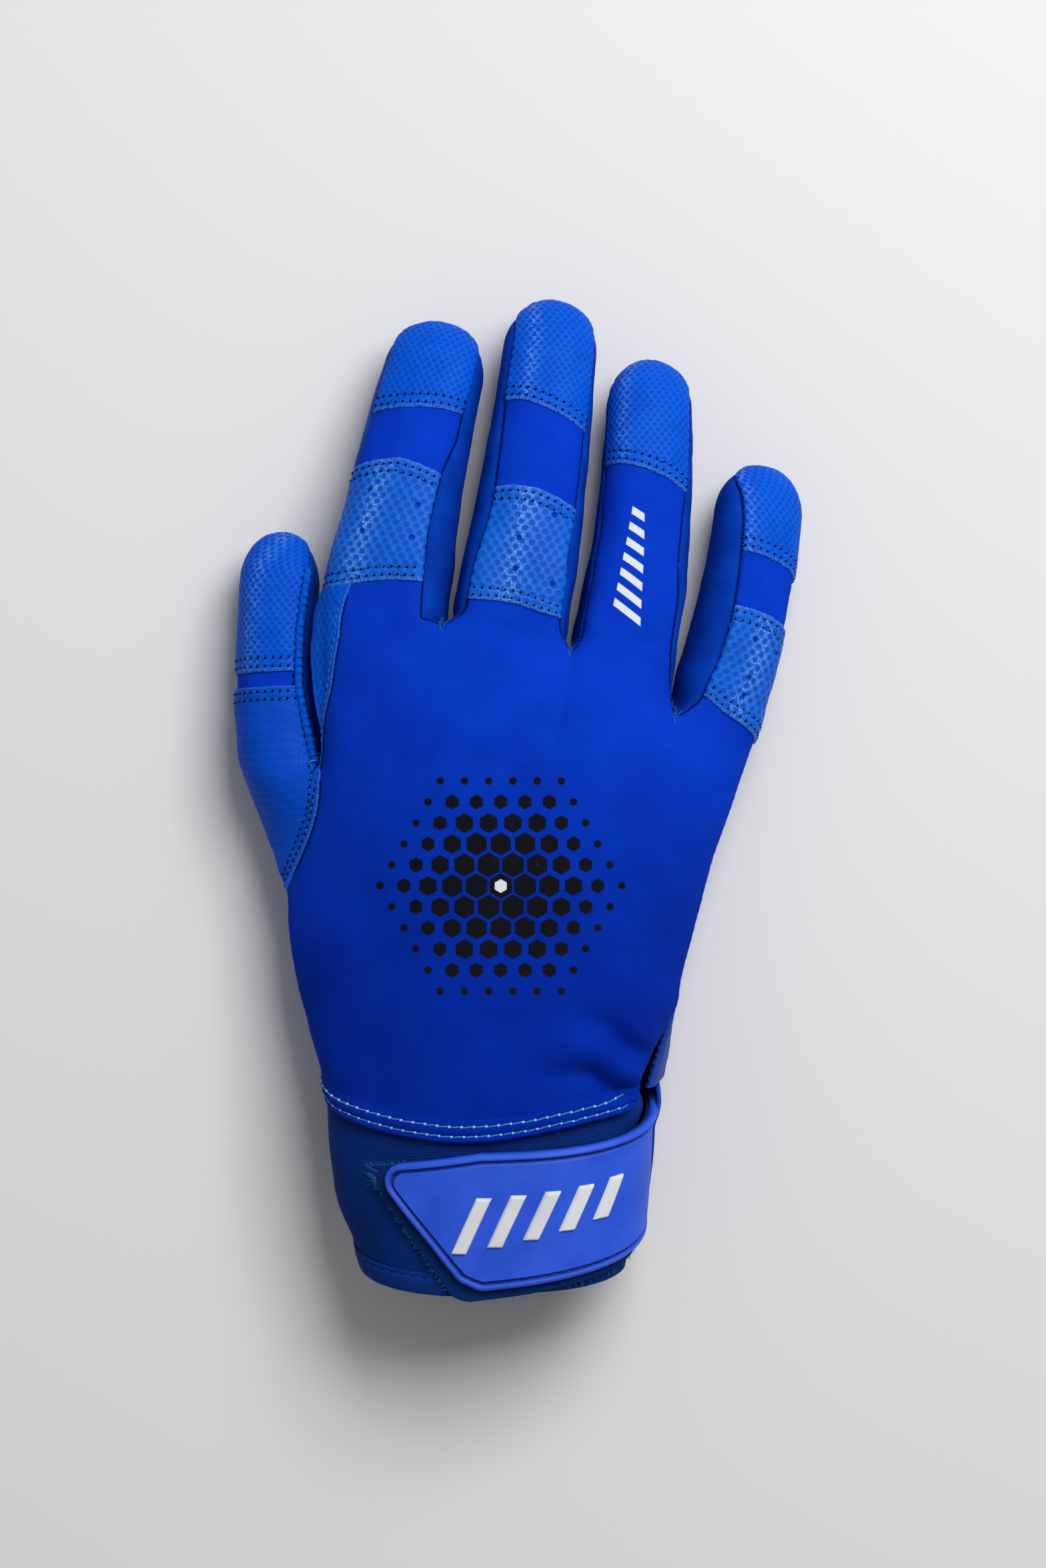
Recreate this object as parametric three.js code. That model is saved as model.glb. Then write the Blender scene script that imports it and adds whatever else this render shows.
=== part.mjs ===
// A right-hand batting glove, lying palm down with its fingers a little curled.
// Millimetres. +Z is up, out of the back of the hand; +Y runs from the wrist to the fingertips;
// +X runs from the thumb side to the little-finger side. The origin is on the flat heel of the palm.
import * as THREE from "three";

// Materials the panels are cut from
const FABRIC = 1.0;
const LEATHER = 1.1;
const KNIT = 1.6;
const SEAM_GAP = 0.35;
const OVERLAY_LIFT = 0.35;
const OVERLAY = 0.8;
const CAP_PROUD = 0.5;

// Wrist cuff, cut longer on the back than on the palm
const CUFF_HALF_WIDTH = 35.8;
const CUFF_TAPER = 2.4;
const CUFF_DEPTH = 38;
const CUFF_CLEARANCE = 1.4;
const CUFF_RIM_DROP = 3.0;
const CUFF_LENGTH = 38;
const CUFF_STEP = 11.25;
const CUFF_SIDE_Y = -16;
const CUFF_SLANT = 0.43;
const CUFF_SQUARENESS = 2.5;
const SLIT_HALF_ANGLE = 8;
const HEM_OVERHANG = 1.0;
const HEM_BAND_WIDTH = 4.8;
const HEM_END_ANGLE = 14;
const HEM_NODE_ANGLES = [135, 90, 45];
const BINDING_WIDTH = 4.6;
const BINDING_ANGLES = [118, 338];

// Closure: loop patch on the back of the cuff, hook strap with its moulded cover
const LOOP_ANGLES = [46, 134];
const LOOP_MARGIN_TOP = 10;
const LOOP_MARGIN_RIM = 6.5;
const STRAP_ROOT_ANGLE = -18;
const STRAP_TOP_END_ANGLE = 141;
const STRAP_LOW_END_ANGLE = 106;
const STRAP_ROOT_MARGIN = 5.6;
const STRAP_END_MARGIN = 8.0;
const STRAP_RIM_MARGIN = 1.8;
const STRAP_END_HEIGHT = 4.0;
const STRAP_CORNER_ANGLE = 7;
const STRAP_LIFT = 0.6;
const HOOK_TAPE = 0.9;
const RUBBER = 1.9;
const RUBBER_INSET = 1.6;
const RUBBER_TOP_INSET = 0.5;

// Back of the hand and palm
const BACK_CROWN = 3.4;
const PALM_HOLLOW = 6.0;
const PALM_PRESS = 1.2;
const SIDE_STEEPNESS = 15;
const SIDE_DRAFT = 2;
const FINGER_ROUNDING_START = 0.45;
const PALM_CROTCH_SETBACK = 1.5;
const HEM_FADE = 0.4;

// Finger stalls: the back strip, two side strips called fourchettes, and the leather front
const BACK_SEAM = 42;
const FRONT_SEAM = 42;
const SIDE_SEAM = 8;
const FINGER_SQUARENESS = 5;
const TIP_SQUARENESS = 2.4;
const SQUARENESS_FADE = 24;
const TIP_ROUND = 11;
const TIP_ROWS = 7;
const STRAIGHT_ROWS = 2;
const SIDE_ROWS = 5;
const SEAMS_MET_ROW = 6;
const BASE_FLEX = 13;
const FLOOR_CLEARANCE = 0.4;

// One row for each finger, from the thumb side. Lengths run from the base of the stall to its tip.
// side is the wall without a fourchette, sewn straight to the palm leather. tuck moves a stall that starts
// lower on the hand in towards its neighbour.
const FINGERS = [
  {
    name: "index", halfWidth: 13.9, tipHalfWidth: 11, halfDepth: 11, tipHalfDepth: 8.4, length: 68.7,
    baseY: 91, baseZ: 21.9, roll: -10, lean: 13.6, bow: -1.5, curl: 2.5, side: "thumb",
    bandStart: 7.5, bandEnd: 33.0, bandSlant: -0.12, flexStart: 33.2, flexEnd: 47.0,
  },
  {
    name: "middle", halfWidth: 13.4, tipHalfWidth: 10, halfDepth: 11.3, tipHalfDepth: 8.7, length: 73.2,
    baseY: 91, baseZ: 23.4, roll: 1, lean: 9.9, bow: 0.9, curl: 2.6, side: null,
    bandStart: 4.2, bandEnd: 27.0, bandSlant: 0.14, flexStart: 28.0, flexEnd: 45.4,
  },
  {
    name: "ring", halfWidth: 11.6, tipHalfWidth: 9.2, halfDepth: 10.5, tipHalfDepth: 8.3, length: 65,
    baseY: 85, baseZ: 21.2, roll: 12, lean: 5.6, bow: 1.8, curl: 2.5, side: null,
    bandStart: null, bandEnd: null, bandSlant: 0, flexStart: 24.0, flexEnd: 38.0,
  },
  {
    name: "little", halfWidth: 10.4, tipHalfWidth: 9.4, halfDepth: 9.2, tipHalfDepth: 7.6, length: 52.5,
    baseY: 74, baseZ: 16.2, roll: 20, lean: 9.8, bow: 1.9, curl: 2.0, side: "outer", tuck: 1.6,
    squareness: 3.4, bandStart: 4.5, bandEnd: 15.5, bandSlant: 0.16, flexStart: 15.7, flexEnd: 28.6,
  },
];
const INDEX_BASE_X = -23.4;
const FINGER_GAP = 0.7;
const CROTCH_DEPTHS = [1.5, 1.2, 5.5];
const CROTCH_TUCK = 12;
const CROTCH_FOLD = 1.6;
const CROTCH_WALL_SHARE = 0.4;
const CROTCH_ROWS = 10;
const CROTCH_ROW = 0.8;
const HAND_ROWS = 10;

// Thumb stall
const THUMB = {
  name: "thumb", halfWidth: 9.9, tipHalfWidth: 8.2, halfDepth: 10.2, tipHalfDepth: 8.6, length: 53.6,
  baseX: -46.4, baseY: 56.5, baseZ: 12.6, roll: -8, lean: -0.3, bow: -1.6, curl: 0.6, squareness: 2.5,
  flexStart: 14.0, flexEnd: 27.0,
};
const THUMB_BACK_SEAM = 32;
const THUMB_FRONT_SEAM = 205;
const THUMB_HOLE_START = [0.34, 0.46];
const THUMB_HOLE_END = [0.55, 0.67];
const THUMB_HOLE_DEPTH = 17;
const THUMB_HOLE_INSET = 3.5;
const THUMB_SPREAD_SHARE = 0.3;
const COLLAR_TUCK = [0.03, 0.07];
const COLLAR_CLEARANCE = [0.08, 0.3];
const COLLAR_EASE_START = 0.6;

// Side seams of the hand: distance up from the heel, reach from the middle line, rise over the cuff's middle
const THUMB_SEAM = [[6, 43.2, -1], [27, 46.4, -1], [45, 40.6, 4], [58, 38.2, 5], [74, 37.4, 4]];
const OUTER_SEAM = [[0, 41.4, -2], [20, 46.4, -3], [42, 52.6, -3], [60, 58.6, -4]];

// Colours
const ROYAL = 0x0a2bb0;
const LEATHER_BLUE = 0x0b52c8;
const SIDE_BLUE = 0x0c3aa8;
const KNIT_BLUE = 0x082a78;
const RUBBER_BLUE = 0x2346cf;

const fabric = new THREE.MeshStandardMaterial({ color: ROYAL, roughness: 0.75, metalness: 0 });
const leather = new THREE.MeshStandardMaterial({ color: LEATHER_BLUE, roughness: 0.45, metalness: 0 });
const stretch = new THREE.MeshStandardMaterial({ color: SIDE_BLUE, roughness: 0.6, metalness: 0 });
const knit = new THREE.MeshStandardMaterial({ color: KNIT_BLUE, roughness: 0.85, metalness: 0 });
const rubber = new THREE.MeshStandardMaterial({ color: RUBBER_BLUE, roughness: 0.5, metalness: 0 });

const rad = THREE.MathUtils.degToRad;
const mix = THREE.MathUtils.lerp;
const smooth = (x, low, high) => THREE.MathUtils.smoothstep(x, low, high);
const vec = (x, y, z) => new THREE.Vector3(x, y, z);
const between = (a, b, t) => a.clone().lerp(b, t);

const glove = new THREE.Group();
const hinges = {};
glove.userData.hinges = hinges;

// Points closer than this are one corner.
const WELD = 5e-4;

// Closed solid between two skins sampled on the same grids. Grids that share an outer edge are welded.
function solidFromGrids(grids) {
  const outer = [];
  const inner = [];
  const found = new Map();
  const index = (p, q) => {
    const key = p.toArray().map((c) => Math.round(c / WELD)).join();
    if (!found.has(key)) {
      found.set(key, outer.length);
      outer.push(p);
      inner.push(q);
    }
    return found.get(key);
  };
  const faces = [];
  const addFace = (a, b, c) => {
    if (a !== b && b !== c && c !== a) faces.push([a, b, c]);
  };
  for (const { skin, lining } of grids) {
    for (let i = 0; i + 1 < skin.length; i++) {
      for (let j = 0; j + 1 < skin[i].length; j++) {
        const corner = (k, l) => index(skin[k][l], lining[k][l]);
        const [a, b, c, d] = [corner(i, j), corner(i + 1, j), corner(i + 1, j + 1), corner(i, j + 1)];
        addFace(a, b, c);
        addFace(a, c, d);
      }
    }
  }
  return closeShell(outer, inner, faces);
}

// Outer faces, reversed inner faces, and a wall along every edge that only one face uses.
function closeShell(outer, inner, faces) {
  const count = outer.length;
  const edges = new Map();
  for (const f of faces) {
    for (let k = 0; k < 3; k++) edges.set(f[k] + "," + f[(k + 1) % 3], [f[k], f[(k + 1) % 3]]);
  }
  const triangles = faces.flatMap(([a, b, c]) => [[a, b, c], [a + count, c + count, b + count]]);
  for (const [a, b] of edges.values()) {
    if (!edges.has(b + "," + a)) triangles.push([b, a, a + count], [b, a + count, b + count]);
  }
  const points = [...outer, ...inner];
  const volume = triangles.reduce((sum, [a, b, c]) => {
    return sum + points[a].dot(points[b].clone().cross(points[c]));
  }, 0);
  const wound = volume < 0 ? triangles.map(([a, b, c]) => [a, c, b]) : triangles;
  const geometry = new THREE.BufferGeometry();
  geometry.setAttribute("position", new THREE.Float32BufferAttribute(points.flatMap((p) => p.toArray()), 3));
  geometry.setIndex(wound.flat());
  geometry.computeVertexNormals();
  return geometry;
}

// A grid of points from a function of two shares, each from 0 to 1.
function grid(rows, columns, at) {
  return Array.from({ length: rows + 1 }, (_, i) => {
    return Array.from({ length: columns + 1 }, (_, j) => at(i / rows, j / columns));
  });
}

function addPart(name, material, geometry) {
  const mesh = new THREE.Mesh(geometry, material);
  mesh.name = name;
  glove.add(mesh);
}

// Distance from the axis to a rounded box of half sizes a and b, at an angle from the side.
function boxRadius(angle, a, b, squareness) {
  const c = Math.abs(Math.cos(angle)) / a;
  const s = Math.abs(Math.sin(angle)) / b;
  return (c ** squareness + s ** squareness) ** (-1 / squareness);
}

// A finger stall: a tapered tube of rounded-box section along a curled centre line, closed at the tip.
class Stall {
  constructor(size) {
    Object.assign(this, size);
    this.base = vec(size.baseX, size.baseY, size.baseZ);
    const tipZ = size.tipHalfDepth + FLOOR_CLEARANCE;
    const reach = Math.sqrt(size.length ** 2 - size.lean ** 2 - (tipZ - size.baseZ) ** 2);
    this.tip = vec(size.baseX + size.lean, size.baseY + reach, tipZ);
    this.control = between(this.base, this.tip, 0.5).add(vec(2 * size.bow, 0, 2 * size.curl));
    this.line = new THREE.QuadraticBezierCurve3(this.base, this.control, this.tip);
  }
  // Frame at a distance along the stall; it runs on straight past both ends.
  frame(along) {
    const share = THREE.MathUtils.clamp(along / this.length, 0, 1);
    const tangent = this.line.getTangent(share);
    const centre = this.line.getPoint(share).addScaledVector(tangent, along - share * this.length);
    const level = tangent.clone().cross(vec(0, 0, 1)).normalize();
    const up = level.clone().cross(tangent);
    const turn = rad(this.roll);
    const back = up.clone().multiplyScalar(Math.cos(turn)).addScaledVector(level, Math.sin(turn));
    const across = level.clone().multiplyScalar(Math.cos(turn)).addScaledVector(up, -Math.sin(turn));
    return { centre, tangent, back, across };
  }
  // Point on the stall, raised by lift from its surface. Angle 0 is the little-finger side, 90 the back.
  point(along, degrees, lift) {
    const share = THREE.MathUtils.clamp(along / this.length, 0, 1);
    const endRound = (along - (this.length - TIP_ROUND)) / (TIP_ROUND + lift);
    const shrink = endRound > 0 ? Math.sqrt(Math.max(0, 1 - endRound ** 2)) : 1;
    const baseSquareness = this.squareness ?? FINGER_SQUARENESS;
    const squareness = mix(baseSquareness, TIP_SQUARENESS, smooth(along, 0, SQUARENESS_FADE));
    const a = mix(this.halfWidth, this.tipHalfWidth, share) + lift;
    const b = mix(this.halfDepth, this.tipHalfDepth, share) + lift;
    const angle = rad(degrees);
    const r = shrink * boxRadius(angle, a, b, squareness);
    const { centre, back, across } = this.frame(along);
    return centre.addScaledVector(across, r * Math.cos(angle)).addScaledVector(back, r * Math.sin(angle));
  }
  // Distance along a panel that runs from start to the tip: straight rows first, then rows round the end.
  tipAlong(start, row, lift) {
    const shoulder = this.length - TIP_ROUND;
    if (row <= STRAIGHT_ROWS) return mix(start, shoulder, row / STRAIGHT_ROWS);
    const turn = (row - STRAIGHT_ROWS) / (TIP_ROWS - STRAIGHT_ROWS);
    return shoulder + Math.sin(rad(90 * turn)) * (TIP_ROUND + lift);
  }
  // Seams draw together to one line on each side of the tip.
  tipSeam(degrees, row) {
    const sideLine = Math.round(degrees / 180) * 180;
    return sideLine + (degrees - sideLine) * (1 - smooth(row, STRAIGHT_ROWS, SEAMS_MET_ROW));
  }
  // Level axis across the stall; a positive turn curls it to the palm.
  hinge(name, along) {
    const { centre, tangent } = this.frame(along);
    const axis = vec(0, 0, 1).cross(tangent).normalize();
    hinges[name] = { point: centre.toArray(), axis: axis.toArray() };
  }
}

// A panel of a stall: along and angles give its rows and its edges, lift is the height of its outer skin.
function stallPanel(stall, { along, angles, rows, columns }, lift, thickness) {
  const skinAt = (height) => (u, v) => {
    const degrees = mix(...angles(u * rows), v);
    return stall.point(along(u * rows, height, degrees), degrees, height);
  };
  const skin = grid(rows, columns, skinAt(lift));
  return solidFromGrids([{ skin, lining: grid(rows, columns, skinAt(lift - thickness)) }]);
}

// Panels that end square, and panels that run to the tip or stop short of it.
function squarePanel(from, to, [low, high], rows, columns, slant = () => 0) {
  const along = (row, lift, degrees) => mix(from, to, row / rows) + slant(degrees);
  return { along, angles: () => [low, high], rows, columns };
}
function tipPanel(stall, start, [low, high], gap, rows, columns) {
  const along = (row, lift) => stall.tipAlong(start, row, lift);
  const angles = (row) => [stall.tipSeam(low, row) + gap, stall.tipSeam(high, row) - gap];
  return { along, angles, rows, columns };
}

const fingers = [];
FINGERS.reduce((left, size) => {
  const baseX = left + size.halfWidth - (size.tuck ?? 0);
  fingers.push(new Stall({ ...size, baseX }));
  return baseX + size.halfWidth + FINGER_GAP;
}, INDEX_BASE_X - FINGERS[0].halfWidth);

// Seam angles of a finger: little-finger side, back edge first, then thumb side.
function seamAngles(stall) {
  const outer = stall.side === "outer";
  const thumbward = stall.side === "thumb";
  return {
    backLow: outer ? SIDE_SEAM : BACK_SEAM,
    backHigh: thumbward ? 180 - SIDE_SEAM : 180 - BACK_SEAM,
    frontLow: thumbward ? 180 - SIDE_SEAM : 180 + FRONT_SEAM,
    frontHigh: outer ? 360 + SIDE_SEAM : 360 - FRONT_SEAM,
  };
}

// Half of the seam gap as an angle at the wall of a stall.
const gapAngle = (stall) => THREE.MathUtils.radToDeg(SEAM_GAP / 2 / stall.tipHalfDepth);

function addFinger(stall) {
  const { name, flexStart, flexEnd } = stall;
  const seams = seamAngles(stall);
  const gap = gapAngle(stall);
  const back = [seams.backLow, seams.backHigh];
  const front = [seams.frontLow, seams.frontHigh];
  const sides = { outer: [-FRONT_SEAM, BACK_SEAM], thumb: [180 - BACK_SEAM, 180 + FRONT_SEAM] };
  const trimmed = ([low, high]) => [low + gap, high - gap];
  const lower = (range, columns) => squarePanel(BASE_FLEX, flexStart, trimmed(range), 3, columns);
  const upper = (range, rows, columns) => tipPanel(stall, flexEnd + SEAM_GAP, range, gap, rows, columns);
  addPart(name + "_back_strip", fabric, stallPanel(stall, lower(back, 7), 0, FABRIC));
  addPart(name + "_front_lower", leather, stallPanel(stall, lower(front, 7), 0, LEATHER));
  const cap = upper(back, TIP_ROWS, 7);
  addPart(name + "_tip_cap", leather, stallPanel(stall, cap, CAP_PROUD, LEATHER + CAP_PROUD));
  addPart(name + "_front_upper", leather, stallPanel(stall, upper(front, TIP_ROWS, 7), 0, LEATHER));
  for (const [side, range] of Object.entries(sides)) {
    if (stall.side === side) continue;
    const fourchette = `${name}_${side}_fourchette`;
    addPart(fourchette + "_lower", stretch, stallPanel(stall, lower(range, 4), 0, FABRIC));
    addPart(fourchette + "_upper", stretch, stallPanel(stall, upper(range, SIDE_ROWS, 4), 0, FABRIC));
  }
  const ring = (from, to) => squarePanel(from, to, [0, 360], 2, 24);
  addPart(name + "_base_flex", stretch, stallPanel(stall, ring(SEAM_GAP, BASE_FLEX - SEAM_GAP), 0, FABRIC));
  addPart(name + "_knuckle_flex", fabric, stallPanel(stall, ring(flexStart + SEAM_GAP, flexEnd), 0, FABRIC));
  if (stall.bandStart !== null) {
    const slant = (degrees) => -stall.bandSlant * stall.halfWidth * Math.cos(rad(degrees));
    const band = squarePanel(stall.bandStart, stall.bandEnd, trimmed(back), 4, 7, slant);
    addPart(name + "_knuckle_band", leather, stallPanel(stall, band, OVERLAY_LIFT + OVERLAY, OVERLAY));
  }
  stall.hinge(name + "_base", BASE_FLEX / 2);
  stall.hinge(name + "_knuckle", (flexStart + flexEnd) / 2);
}
fingers.forEach(addFinger);

// Cuff: a flattened oval ring, flat where it rests, slanted so that the back is the longer side.
const cuffHalfDepth = CUFF_DEPTH / 2;
const cuffMiddle = CUFF_CLEARANCE + cuffHalfDepth;
function cuffPoint(degrees, down, lift) {
  const share = down / CUFF_LENGTH;
  const angle = rad(degrees);
  const halfWidth = CUFF_HALF_WIDTH - CUFF_TAPER * share ** 2 + lift;
  const halfDepth = cuffHalfDepth - (CUFF_RIM_DROP / 2) * share + lift;
  const r = boxRadius(angle, halfWidth, halfDepth, CUFF_SQUARENESS);
  const z = cuffMiddle - (CUFF_RIM_DROP / 2) * share + r * Math.sin(angle);
  return vec(r * Math.cos(angle), CUFF_SIDE_Y - down - CUFF_SLANT * (z - cuffMiddle), z);
}

// Angles of a cuff panel's columns. All panels share the same steps, so that one lies flat on the next.
function cuffAngles([from, to]) {
  const angles = [from];
  for (let a = Math.ceil((from + 1) / CUFF_STEP) * CUFF_STEP; a < to - 1; a += CUFF_STEP) angles.push(a);
  return [...angles, to];
}

// A panel on the cuff: its two ends as angles, its top and lower edge below the hem, and its height.
function cuffPanel(ends, edges, lift, thickness, rows) {
  const angles = cuffAngles(ends);
  const skinAt = (extra) => (u, v) => {
    const degrees = angles[Math.round(v * (angles.length - 1))];
    const [top, low] = edges(degrees);
    return cuffPoint(degrees, mix(top, low, u), lift(degrees) + extra);
  };
  const columns = angles.length - 1;
  const skin = grid(rows, columns, skinAt(thickness));
  return solidFromGrids([{ skin, lining: grid(rows, columns, skinAt(0)) }]);
}
const cuffTurn = [SLIT_HALF_ANGLE, 360 - SLIT_HALF_ANGLE];
const cuffEdges = () => [SEAM_GAP, CUFF_LENGTH];
const loopEdges = () => [LOOP_MARGIN_TOP, CUFF_LENGTH - LOOP_MARGIN_RIM];
const bindingEdges = () => [CUFF_LENGTH - BINDING_WIDTH, CUFF_LENGTH];
const onCuff = () => OVERLAY_LIFT;
addPart("cuff_band", knit, cuffPanel(cuffTurn, cuffEdges, () => -KNIT, KNIT, 4));
addPart("cuff_loop_patch", knit, cuffPanel(LOOP_ANGLES, loopEdges, onCuff, OVERLAY, 3));
addPart("cuff_rim_binding", knit, cuffPanel(BINDING_ANGLES, bindingEdges, onCuff, OVERLAY, 2));

// Strap: hook tape and its moulded cover, sewn at the palm edge of the slit and pressed on the loop patch.
// Its free end is cut on a slant, so the lower edge climbs to the short upright end.
function strapEdges(inset) {
  const lowest = CUFF_LENGTH - STRAP_RIM_MARGIN - inset;
  return (degrees) => {
    const share = (degrees - STRAP_ROOT_ANGLE) / (STRAP_TOP_END_ANGLE - STRAP_ROOT_ANGLE);
    const top = mix(STRAP_ROOT_MARGIN, STRAP_END_MARGIN, share) + Math.min(inset, RUBBER_TOP_INSET);
    const climbStart = STRAP_LOW_END_ANGLE - STRAP_CORNER_ANGLE;
    const climb = smooth(degrees, climbStart, STRAP_TOP_END_ANGLE + STRAP_CORNER_ANGLE);
    return [top, mix(lowest, top + STRAP_END_HEIGHT, climb)];
  };
}
function strapSeat(degrees) {
  return STRAP_LIFT + (OVERLAY + OVERLAY_LIFT) * smooth(degrees, HEM_END_ANGLE, LOOP_ANGLES[0] - 2);
}
function strapPanel(inset, height, thickness) {
  const ends = [STRAP_ROOT_ANGLE + inset, STRAP_TOP_END_ANGLE - 2 * inset];
  return cuffPanel(ends, strapEdges(inset), (degrees) => strapSeat(degrees) + height, thickness, 6);
}
addPart("strap_hook_tape", knit, strapPanel(0, 0, HOOK_TAPE));
addPart("strap_moulded_cover", rubber, strapPanel(RUBBER_INSET, HOOK_TAPE + OVERLAY_LIFT, RUBBER));
const strapRoot = strapEdges(0)(STRAP_ROOT_ANGLE).map((down) => {
  return cuffPoint(STRAP_ROOT_ANGLE, down, strapSeat(STRAP_ROOT_ANGLE) + HOOK_TAPE / 2);
});
hinges.strap_peel = {
  point: between(...strapRoot, 0.5).toArray(),
  axis: strapRoot[0].clone().sub(strapRoot[1]).normalize().toArray(),
};

// Hem of the back panel, folded and stitched over the top edge of the cuff
const hemTurn = [HEM_END_ANGLE, 180 - HEM_END_ANGLE];
addPart("back_hem", fabric, cuffPanel(hemTurn, () => [0, HEM_BAND_WIDTH], onCuff, OVERLAY, 2));

// Lines that run up the hand from the hem: its two side seams, and one to each finger crotch between them
const hemPoint = (degrees) => cuffPoint(degrees, -2 * SEAM_GAP, HEM_OVERHANG);
const first = fingers[0];
const last = fingers[fingers.length - 1];
const thumbSeamTop = first.point(0, seamAngles(first).backHigh, 0);
const outerSeamTop = last.point(0, seamAngles(last).backLow, 0);
const seamPoints = (list, side) => list.map(([y, reach, rise]) => vec(side * reach, y, cuffMiddle + rise));
const thumbSeam = new THREE.CatmullRomCurve3([hemPoint(180), ...seamPoints(THUMB_SEAM, -1), thumbSeamTop]);
const outerSeam = new THREE.CatmullRomCurve3([hemPoint(0), ...seamPoints(OUTER_SEAM, 1), outerSeamTop]);

// The palm's edge leaves the thumb-side seam and passes under the thumb, which opens the thumb hole.
function palmThumbEdge(v) {
  const open = smooth(v, ...THUMB_HOLE_START) * (1 - smooth(v, ...THUMB_HOLE_END));
  const below = vec(THUMB_HOLE_INSET, 0, -THUMB_HOLE_DEPTH).multiplyScalar(open);
  return thumbSeam.getPoint(v).add(below).add(vec(0, 0, -SEAM_GAP));
}
const palmOuterEdge = (v) => outerSeam.getPoint(v).add(vec(0, 0, -SEAM_GAP));

// Point where two neighbouring stalls part, on the back or on the palm side.
function crotch(i, lowAngle, highAngle, setback) {
  const y = fingers[i + 1].baseY - CROTCH_DEPTHS[i] - setback;
  const edge = (stall, angle) => stall.point((y - stall.baseY) / stall.frame(0).tangent.y, angle, 0);
  const p = between(edge(fingers[i], lowAngle), edge(fingers[i + 1], highAngle), 0.5);
  p.y = y;
  return p;
}
const crotches = [0, 1, 2].map((i) => crotch(i, BACK_SEAM, 180 - BACK_SEAM, 0));
const palmCrotches = [0, 1, 2].map((i) => crotch(i, -FRONT_SEAM, 180 + FRONT_SEAM, PALM_CROTCH_SETBACK));

function handLine(start, end, crown) {
  const control = between(start, end, 0.5).add(vec(0, 0, 2 * crown));
  return new THREE.QuadraticBezierCurve3(start, control, end);
}
const backLines = crotches.map((c, i) => handLine(hemPoint(HEM_NODE_ANGLES[i]), c, BACK_CROWN));
const palmLines = palmCrotches.map((c, i) => handLine(hemPoint(360 - HEM_NODE_ANGLES[i]), c, -PALM_HOLLOW));

// Smooth curve through five points across the hand, with steep ends at the side seams.
function acrossHand(nodes, share, drop) {
  const before = nodes[0].clone().add(vec(SIDE_DRAFT, 0, -drop));
  const after = nodes[4].clone().add(vec(-SIDE_DRAFT, 0, -drop));
  const p = [before, ...nodes, after];
  const i = Math.min(Math.floor(share * 4), 3);
  const t = share * 4 - i;
  const [a, b, c, d] = p.slice(i, i + 4);
  const weight = [
    -0.5 * t + t * t - 0.5 * t ** 3, 1 - 2.5 * t * t + 1.5 * t ** 3,
    0.5 * t + 2 * t * t - 1.5 * t ** 3, -0.5 * t * t + 0.5 * t ** 3,
  ];
  return [a, b, c, d].reduce((sum, q, k) => sum.addScaledVector(q, weight[k]), vec(0, 0, 0));
}

// One side of the hand as four strips, welded up to the crotches, that end in the bases of the stalls.
// press sets the heel down on the table, where it lies flat.
function handStrips(lines, sides, arcAngles, drop, press) {
  const parting = (v) => Math.min(v / CROTCH_ROW, 1);
  const nodesAt = (v) => [sides[0](v), ...lines.map((line) => line.getPoint(parting(v))), sides[1](v)];
  const turn = [180, ...HEM_NODE_ANGLES, 0].map((a) => (drop > 0 ? a : 360 - a));
  // What takes the smooth curve across the hand to the cuff's own oval at the hem.
  const hemFit = (share) => {
    const i = Math.min(Math.floor(share * 4), 3);
    return hemPoint(mix(turn[i], turn[i + 1], share * 4 - i)).sub(acrossHand(nodesAt(0), share, drop));
  };
  return fingers.map((stall, f) => {
    const [thumbward, outward] = arcAngles(stall);
    const arc = (t) => stall.point(0, mix(thumbward, outward, t), 0);
    const edge = (node, corner, isSide, v) => {
      if (isSide || v <= CROTCH_ROW) return node;
      return between(node, corner, (v - CROTCH_ROW) / (1 - CROTCH_ROW));
    };
    return (v, t) => {
      const nodes = nodesAt(v);
      const left = edge(nodes[f], arc(0), f === 0, v);
      const right = edge(nodes[f + 1], arc(1), f === fingers.length - 1, v);
      const handBulge = acrossHand(nodes, (f + t) / 4, drop).sub(between(nodes[f], nodes[f + 1], t));
      const fingerBulge = arc(t).sub(between(arc(0), arc(1), t));
      const w = smooth(v, FINGER_ROUNDING_START, 1);
      const p = between(left, right, t).addScaledVector(handBulge, 1 - w).addScaledVector(fingerBulge, w);
      p.addScaledVector(hemFit((f + t) / 4), 1 - smooth(v, 0, HEM_FADE));
      if (press > 0) p.z = Math.max(p.z - press * (1 - smooth(v, CROTCH_ROW / 2, 1)), 0);
      return p;
    };
  });
}

// Solid on a sampled skin: its lining is set in along the skin's normals, level where a side seam asks it.
function sheet(strips, thickness, rows, columns, outside, isLevel = () => false) {
  const step = 1e-3;
  const normal = (at, v, t) => {
    const [v0, v1] = [Math.max(0, v - step), Math.min(1, v + step)];
    const [t0, t1] = [Math.max(0, t - step), Math.min(1, t + step)];
    return at(v1, t).sub(at(v0, t)).cross(at(v, t1).sub(at(v, t0)));
  };
  const facing = Math.sign(normal(strips[0], 0.5, 0.5).dot(outside));
  return solidFromGrids(strips.map((at, f) => {
    const inset = (v, t) => {
      const n = normal(at, v, t);
      if (isLevel(f, t)) n.z = 0;
      return at(v, t).addScaledVector(n.normalize(), -facing * thickness);
    };
    return { skin: grid(rows, columns, at), lining: grid(rows, columns, inset) };
  }));
}
const isSideSeam = (f, t) => (f === 0 && t === 0) || (f === fingers.length - 1 && t === 1);
const backArc = (stall) => [seamAngles(stall).backHigh, seamAngles(stall).backLow];
const palmArc = (stall) => [seamAngles(stall).frontLow, seamAngles(stall).frontHigh];
const backSides = [(v) => thumbSeam.getPoint(v), (v) => outerSeam.getPoint(v)];
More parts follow.
